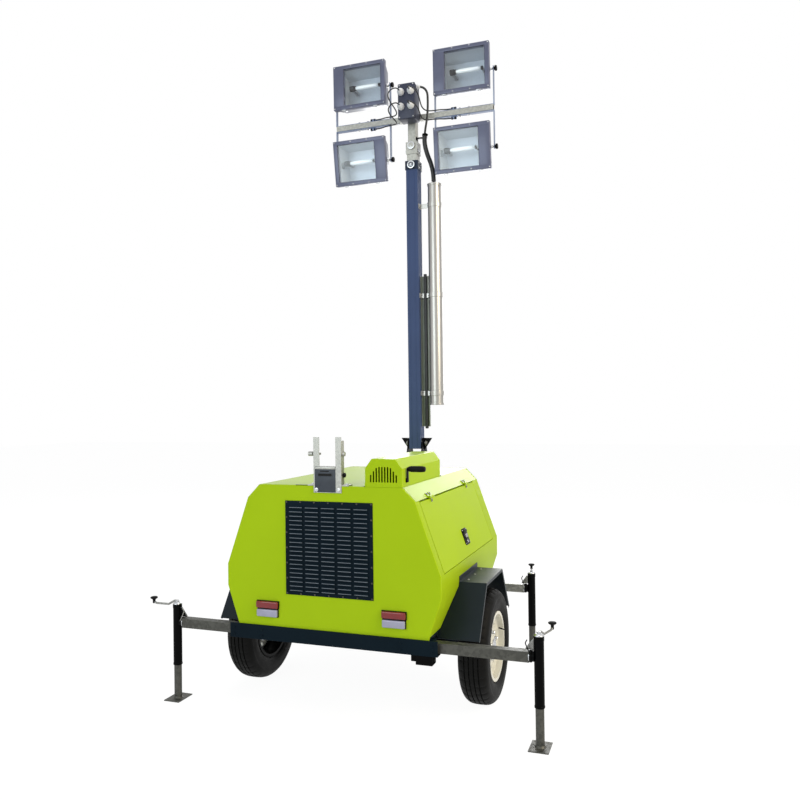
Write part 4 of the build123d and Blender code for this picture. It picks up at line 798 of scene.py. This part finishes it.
for z in (1.83, 2.56, 3.23):
    for step in (0.009, 0.027):
        clamps.bolts(0.01, (1, 0, 0), [(0.0495, mast_y + y, z + step) for y in (-0.022, 0.022)])
        clamps.bolts(0.011, (0, -1, 0), [(0.108, mast_y - 0.003, z + step)])
clamps.done("cable_tube_bolts", "mast_outer", bright)

# Mast support: pivot nuts and foot bolts
support = Shape()
for side in (-1, 1):
    support.bolts(0.03, (side, 0, 0), [(side * 0.069, mast_y, 1.475)])
    support.bolts(0.022, (0, 0, 1), [(side * 0.07, mast_y + y, 0.506) for y in (-0.078, 0.078)])
support.done("mast_support_bolts", "chassis", zinc)

# Enclosure: rubber seals in the doors' gaps, grille screws, hood seam and trims
for side, name in sides:
    face = place((side * shoulder_half, 0, shoulder_z), (0, 1, 0), (side * math.cos(slope), 0, math.sin(slope)))
    seal = Shape(face)
    # The Y of a sloping face points up it on the right and down it on the left
    low_v, high_v, start, end, thick = 0.0095, 0.412, -1.2215, -0.0685, 0.004
    for u0, v0, u1, v1 in (
        (start, low_v, start + thick, high_v), (end - thick, low_v, end, high_v), (start, high_v - thick, end, high_v),
    ):
        a, b = sorted((-side * v0, -side * v1))
        seal.box((u0, a, -0.016), (u1, b, -0.0035))
    seal.done(f"door_seal_{name}", "chassis", seal_and_shade_black, slot="black_plastic")

    # Hinge plates on the leaves, with their screws
    chamfer = place((side * shoulder_half, 0, shoulder_z), (0, 1, 0), (side * chamfer_out[0], 0, chamfer_out[1]))
    plates = {f"door_{name}": Shape(face), "chassis": Shape(chamfer)}
    for y in (rear_y + 0.265, front_y - 0.326):
        for body, steps_along, way in ((f"door_{name}", (0.0,), -side), ("chassis", (-0.024, 0.024), side)):
            leaf = plates[body]
            base = leaf.at
            for step in steps_along:
                low_v, high_v = sorted((way * 0.0125, way * 0.03))
                on_leaf = base @ place((y + step, 0, 0.009), (1, 0, 0), (0, way * 0.006, 0.03))
                leaf.at = on_leaf
                leaf.paint = 0
                leaf.box((-0.0112, low_v, 0.0001), (0.0112, high_v, 0.0011), 0.0004, 1)
                leaf.paint = 1
                for x in (-0.005, 0.005):
                    leaf.at = on_leaf @ Matrix.Translation((x, way * 0.0215, 0.0011))
                    leaf.screw(0.0058)
                leaf.at = base
    for body, leaf in plates.items():
        part = "roof" if body == "chassis" else "door"
        leaf.done(f"hinge_plates_{name}_{part}", body, zinc, black_plastic)

    # Latch: a dish, a paddle and a keyhole's barrel
    point = (side * (shoulder_half + 0.3 * math.sin(slope)), rear_y + 0.655, shoulder_z - 0.3 * math.cos(slope))
    at = place(point, (0, 1, 0), (side * math.cos(slope), 0, math.sin(slope)))
    dish = Shape(at)
    outline = []
    for x, y, start in ((0.0355, 0.038, 0), (-0.0355, 0.038, 90), (-0.0355, -0.038, 180), (0.0355, -0.038, 270)):
        outline += arc(x, y, 0.012, start, 7)
    dish.prism(outline, 0.0, 0.0042, 0.0012)
    dish.paint = 1
    dish.box((-0.026, side * 0.004 - 0.014, 0.004), (0.026, side * 0.004 + 0.014, 0.0105), 0.0028, 3)
    dish.paint = 0
    dish.box((-0.04, side * 0.033 - 0.008, 0.004), (0.04, side * 0.033 + 0.008, 0.011), 0.0028, 3)
    dish.paint = 2
    dish.at = at @ Matrix.Translation((0, -side * 0.031, 0.004))
    dish.turned([(0, 0.0095), (0.003, 0.0095), (0.0045, 0.0075), (0.0045, 0.004), (0.002, 0.004)])
    for x in (-0.038, 0.038):
        for y in (-0.04, 0.04):
            dish.at = at @ Matrix.Translation((x, y, 0.004))
            dish.screw(0.007)
    paints = (black_plastic, box_grey, bright)
    dish.done(f"latch_{name}_paddle", f"door_{name}", *paints, slot="black_plastic", stands_for=[f"latch_{name}"])

screws = Shape()
spots = [(-0.2585 + i * 0.0861667, z) for i in range(7) for z in (0.7005, 1.2165)]
spots += [(x, 0.7005 + i * 0.086) for i in range(1, 6) for x in (-0.2585, 0.2585)]
screws.screws(0.011, (0, -1, 0), [(x, rear_y - 0.003, z) for x, z in spots])
screws.done("grille_screws", "chassis", dark_zinc)
behind = Shape()
behind.box((-0.255, rear_y + 0.0215, 0.705), (0.255, rear_y + 0.0225, 1.212))
behind.done("grille_backing", "chassis", seal_and_shade_black, slot="black_plastic")

trim = Shape()
trim.box((0.2165, rear_y + 0.001, roof_z - 0.0005), (0.2235, rear_y + 0.71, roof_z + 0.005), 0.001)
trim.box((0.2165, rear_y + 0.7095, roof_z - 0.0005), (0.445, rear_y + 0.716, roof_z + 0.005), 0.001)
trim.box((-0.085, rear_y + 0.0005, roof_z - 0.0005), (-0.2, rear_y + 0.006, roof_z + 0.003), 0.0005)
trim.done("hood_seal", "chassis", seal_and_shade_black, slot="black_plastic")
hood = Shape()
hood.box((0.2205, rear_y + 0.0005, roof_z), (0.4415, rear_y + 0.0045, roof_z + 0.018), 0.001)
hood.screws(0.008, (0, -1, 0), [(x, rear_y + 0.0008, roof_z + 0.009) for x in (0.234, 0.331, 0.428)])
hood.done("hood_flange", "chassis", green, slot="body_green")

# Hand crank on the hood: hub, arm and a grooved grip
crank_y, crank_z = rear_y + 0.07, 1.346
crank = Shape(facing((0.4385, crank_y, crank_z), (1, 0, 0)))
crank.turned([(0, 0.0128), (0.0035, 0.0128), (0.0055, 0.011), (0.0118, 0.011), (0.0125, 0)], 28)
crank.at = place((0.4445, crank_y, crank_z), (0, 1, 0), (1, 0, 0))
arm = arc(0, 0, 0.01, 180, 13) + arc(0, 0.062, 0.0085, 0, 13)
crank.prism(arm, 0.0, 0.0058, 0.0012)
crank.at = facing((0.4505, crank_y, crank_z + 0.062), (1, 0, 0))
crank.turned([
    (0, 0.011), (0.003, 0.0125), (0.008, 0.015), (0.02, 0.0165), (0.05, 0.0168), (0.08, 0.0165),
    (0.094, 0.015), (0.0985, 0.011), (0.0995, 0),
], 36)
for i in range(6):
    crank.at = facing((0.4505 + 0.018 + 0.012 * i, crank_y, crank_z + 0.062), (1, 0, 0))
    crank.lathe([(0, 0.016), (0.001, 0.01695), (0.004, 0.01695), (0.005, 0.016)], 36)
crank.done("crank_handle", "chassis", black_plastic, slot="black_plastic", stands_for=["winch_crank"])

# Tail lamps: a black tray and a rounded lens
for side, name in sides:
    for kind, low, high, made in (("upper", 0.6035, 0.648, lens_red), ("lower", 0.555, 0.603, lens_pale)):
        tray = Shape()
        half_wide = 0.0725 if kind == "upper" else 0.0685
        x0 = side * 0.385
        tray.box((x0 - half_wide, rear_y - 0.006, low), (x0 + half_wide, rear_y, high), 0.002)
        tray.done(f"tail_tray_{kind}_{name}", "chassis", black_plastic, slot="lens")
        lens = Shape()
        lens_low = (x0 - half_wide + 0.003, rear_y - 0.0215, low + 0.003)
        lens.box(lens_low, (x0 + half_wide - 0.003, rear_y - 0.005, high - 0.003), 0.0065, 4)
        stood_for = ["tail_lamps"] if (kind, name) == ("upper", "left") else ()
        lens.done(f"tail_lens_{kind}_{name}", "chassis", made, slot="lens", stands_for=stood_for)

# Cradle: bolts, the rear plate with its lip and two black strips of painted shade where its slot shows dark, and the
# knob
bits = Shape()
bits.bolts(0.016, (0, -1, 0), [(x, rear_y - 0.006, 1.29) for x in (-0.068, 0.068)])
bits.bolts(0.015, (0, 0, 1), [(x, rear_y + 0.03, roof_z + 0.006) for x in (-0.105, 0.105)])
bits.done("cradle_bolts", "chassis", bright)
plate = Shape()
plate.box((-0.0775, rear_y - 0.0074, 1.277), (0.05, rear_y - 0.0058, 1.404), 0.0006)
plate.paint = 1
plate.box((-0.0775, rear_y - 0.0095, 1.4045), (0.05, rear_y - 0.0058, 1.4195), 0.0012)
# Black strips proud of the plate: painted shade standing for the plate's dark slot
plate.paint = 2
plate.box((-0.056, rear_y - 0.0108, 1.366), (0.03, rear_y - 0.007, 1.383), 0.0025, 3)
plate.box((-0.043, rear_y - 0.009, 1.391), (0.012, rear_y - 0.007, 1.398), 0.0009)
plate.done("cradle_plate", "chassis", slate, pale_zinc, seal_and_shade_black)
knob = Shape(facing((0.085, rear_y + 0.0175, 1.372), (1, 0, 0)))
knob.turned([(0, 0.007), (0.004, 0.007), (0.005, 0.013), (0.0125, 0.0135), (0.0148, 0.0105), (0.015, 0)])
knob.done("cradle_knob", "chassis", black_plastic, slot="black_plastic")

# Rear channel: painted bolts, a hanging pin, and the small latch box under its right end
bolts = Shape()
spots = [(x, rear_y - 0.012, z) for x in (-0.6, -0.42, 0.42, 0.6) for z in (0.446, 0.48)]
bolts.bolts(0.012, (0, -1, 0), spots)
bolts.done("channel_bolts", "chassis", navy, slot="frame_navy")
fittings = Shape()
spots = [(x, rear_y + 0.02, z - 0.032) for x, z in ((-0.475, 0.452), (-0.4, 0.462), (-0.435, 0.447))]
fittings.screws(0.012, (0, -1, 0), spots)
fittings.done("channel_fittings", "chassis", bright)
latch = Shape()
latch.box((0.505, rear_y - 0.008, 0.372), (0.6, rear_y + 0.06, 0.4222), 0.004, 3)
latch.box((0.478, rear_y - 0.004, 0.388), (0.506, rear_y + 0.03, 0.4222), 0.003)
pin = [(-0.283, rear_y + 0.004, 0.423), (-0.283, rear_y + 0.004, 0.405), (-0.281, rear_y + 0.002, 0.372)]
latch.pipe(pin, 0.004, 10)
latch.done("channel_latch", "chassis", black_metal, slot="black_metal")

# A small ribbed lip along each louvre's lower edge, where the pressed metal is rolled, in a lighter blue that is a
# painted highlight of light catching the pressed edges
lips = Shape()
grille_mid_z = 0.693 + 0.531 / 2
for column in range(5):
    x = (column - 2) * 0.099
    for row in range(20):
        z = grille_mid_z + (row - 10) * 0.0246 + 0.004
        lips.box((x - 0.04, rear_y - 0.0127, z + 0.0012), (x + 0.04, rear_y - 0.0112, z + 0.0044), 0.0006, 1)
lips.done("louvre_lips", "chassis", louvre_highlight_blue, slot="frame_navy")

# Jacks: a painted tube with its collars, a bright cap, a bent crank rod and a mushroom knob
jack_table = (
    # name, side, sleeve Y, distance from the centre line, crank angle from +X, crank's finish
    ("rear_left", -1, rear_sleeve_y, 1.035, 180.0, zinc),
    ("rear_right", 1, rear_sleeve_y, 1.155, 75.0, zinc),
    ("front_left", -1, front_sleeve_y, 0.86, 110.0, dark_zinc),
    ("front_right", 1, front_sleeve_y, 0.86, 100.0, dark_zinc),
)
for name, side, y, x, angle, rod_finish in jack_table:
    body = f"outrigger_{name}"
    centre = (side * x, y)
    tube = Shape(facing((*centre, 0.204), (0, 0, 1)))
    tube.lathe([
        (0.0, 0.0227), (0.0, 0.0262), (0.002, 0.0275), (0.01, 0.0275), (0.012, 0.0258), (0.34, 0.0258),
        (0.342, 0.0274), (0.364, 0.0274), (0.3658, 0.0255), (0.3658, 0.0),
    ], 48)
    tube.lathe([(0.0, 0.0227), (0.02, 0.0227), (0.02, 0.0), ], 48)
    # The mount: a round flange and a swivel barrel
    tube.at = facing((side * (x - 0.0475), y, frame_z), (side, 0, 0))
    tube.turned([(0, 0.0318), (0.01, 0.0318), (0.012, 0.03), (0.014, 0.027), (0.024, 0.027)], 40)
    tube.done(f"jack_tube_{name}", body, black_metal, slot="black_metal", stands_for=[f"jack_{name}"])
    cap = Shape(facing((*centre, 0.5698), (0, 0, 1)))
    cap.lathe([(0, 0.0262), (0.002, 0.0262), (0.006, 0.0235), (0.0095, 0.0165), (0.0115, 0.0125), (0.0115, 0)], 40)
    cap.turned([(0.0112, 0.0118), (0.0205, 0.0118), (0.0218, 0.01), (0.022, 0)], 6)
    cap.at = facing((side * (x - 0.051), y, frame_z), (side, 0, 0))
    cap.lathe([(0.0, 0.0285), (0.0, 0.0316), (0.0035, 0.0316), (0.0035, 0.0285), (0.0, 0.0285)], 40)
    cap.done(f"jack_cap_{name}", body, bright)
    # Crank rod, bent down and out and up into the knob, and the lever of the lock pin
    t = math.radians(angle)
    out = Vector((math.cos(t), math.sin(t), 0))
    hub = Vector((*centre, 0.587))
    bends = ((-0.008, 0), (0.02, 0), (0.062, 0.024), (0.15, 0.0245), (0.17, 0.018), (0.17, 0.004))
    run = [hub + out * reach - Vector((0, 0, drop)) for reach, drop in bends]
    rod = Shape()
    rod.pipe(rounded(run, 0.018, 7), 0.0064, 18)
    rod.done(f"jack_crank_{name}", body, rod_finish)
    grip = Shape(facing(hub + out * 0.17 + Vector((0, 0, -0.026)), (0, 0, 1)))
    grip.turned([
        (0, 0.0075), (0.004, 0.0088), (0.018, 0.0085), (0.024, 0.0105), (0.028, 0.0185), (0.032, 0.0222),
        (0.036, 0.0222), (0.0395, 0.018), (0.0415, 0.008), (0.0418, 0),
    ], 36)
    grip.done(f"jack_knob_{name}", body, black_plastic, slot="black_plastic")
    lever = Shape()
    base = Vector((side * (x - 0.036), y - 0.026, frame_z + 0.01))
    bends = ((0, 0, 0), (-0.012, -0.0015, 0.022), (-0.03, -0.0015, 0.062), (-0.02, -0.0015, 0.08))
    lever.pipe(rounded([base + Vector((side * dx, dy, dz)) for dx, dy, dz in bends], 0.01), 0.0028, 10)
    lever.paint = 1
    lever.at = place((*centre, frame_z), (side, 0, 0), (0, -side, 0))
    gusset = [(-0.0262, 0.034), (-0.0262, 0.088), (-0.034, 0.088), (-0.069, 0.04), (-0.069, 0.034)]
    lever.prism(gusset, -0.004, 0.004, 0.0012)
    paints = (zinc, black_metal) if side < 0 else (black_metal, zinc)
    lever.done(f"jack_lever_{name}", body, *paints)
    # Leg: the weld collar over the foot
    foot = Shape(facing((*centre, 0.0058), (0, 0, 1)))
    foot.lathe([(0, 0.0222), (0, 0.03), (0.004, 0.0265), (0.01, 0.0228), (0.01, 0.0222), (0, 0.0222)], 36)
    foot.done(f"foot_weld_{name}", f"leg_{name}", dark_zinc)

# Mudguards: the stay bolts
bolts = Shape()
for side in (-1, 1):
    bolts.screws(0.014, (0, 0, 1), [(side * 0.69, axle_y + y, 0.7448) for y in (-0.15, 0.0, 0.15)])
bolts.done("mudguard_bolts", "chassis", zinc)

# Floor, backdrop and light
def combine(tree, operation, first, second):
    """What an operation on two numbers gives."""
    node = add(tree, "Math", {0: first, 1: second})
    node.operation = operation
    return node.outputs["Value"]


def seen_rays(tree):
    """1 for the rays that show the background: to the camera, in gloss and through glass."""
    rays = add(tree, "LightPath", {}).outputs
    shiny = combine(tree, "MAXIMUM", rays["Is Camera Ray"], rays["Is Glossy Ray"])
    return combine(tree, "MAXIMUM", shiny, rays["Is Transmission Ray"])


floor_mesh = bpy.data.meshes.new("floor")
floor_mesh.from_pydata([(-30, -30, 0), (30, -30, 0), (30, 30, 0), (-30, 30, 0)], [], [(0, 1, 2, 3)])
floor = bpy.data.objects.new("floor", floor_mesh)
show(floor)
floor.location.z = -0.0005
pale = bpy.data.materials.new("pale_floor")
pale.use_nodes = True
tree = pale.node_tree
shader = tree.nodes["Principled BSDF"]
feed(tree, shader, {"Base Color": (0.86, 0.86, 0.86, 1), "Roughness": 0.9, "Specular IOR Level": 0.1})
white = add(tree, "Emission", {"Color": (1, 1, 1, 1), "Strength": 1.1})
share = combine(tree, "MULTIPLY", seen_rays(tree), 0.86)
mix = add(tree, "MixShader", {"Fac": share, 1: shader.outputs["BSDF"], 2: white.outputs["Emission"]})
feed(tree, tree.nodes["Material Output"], {"Surface": mix.outputs["Shader"]})
floor_mesh.materials.append(pale)

world = bpy.data.worlds.new("studio")
scene.world = world
world.use_nodes = True
tree = world.node_tree
soft = tree.nodes["Background"]
feed(tree, soft, {"Color": (0.96, 0.98, 1.0, 1), "Strength": 0.34})
plain = add(tree, "Background", {"Color": (1, 1, 1, 1), "Strength": 1.0})
backgrounds = {1: soft.outputs["Background"], 2: plain.outputs["Background"]}
mix = add(tree, "MixShader", {"Fac": seen_rays(tree), **backgrounds})
feed(tree, tree.nodes["World Output"], {"Surface": mix.outputs["Shader"]})

for name, spot, target, size, power, colour in (
    ("key_light", (6.5, -2.5, 4.5), (0.0, -0.4, 1.4), 4.0, 360.0, (1.0, 0.88, 0.66)),
    ("fill_light", (-2.5, -7.5, 3.4), (0.0, -0.4, 1.8), 4.5, 190.0, (0.87, 0.98, 1.0)),
    ("top_light", (0.5, 0.5, 8.5), (0.0, -0.3, 1.5), 5.0, 150.0, (1.0, 1.0, 1.0)),
    ("back_light", (-0.9, 9.0, 3.6), (-0.9, 0.0, 2.6), 5.5, 360.0, (1.0, 1.0, 1.0)),
):
    data = bpy.data.lights.new(name, "AREA")
    data.size = size
    data.energy = power
    data.color = colour
    lamp = bpy.data.objects.new(name, data)
    show(lamp)
    lamp.location = spot
    lamp.visible_camera = False
    lamp.rotation_euler = (Vector(target) - Vector(spot)).to_track_quat("-Z", "Y").to_euler()

scene.view_settings.view_transform = "Standard"
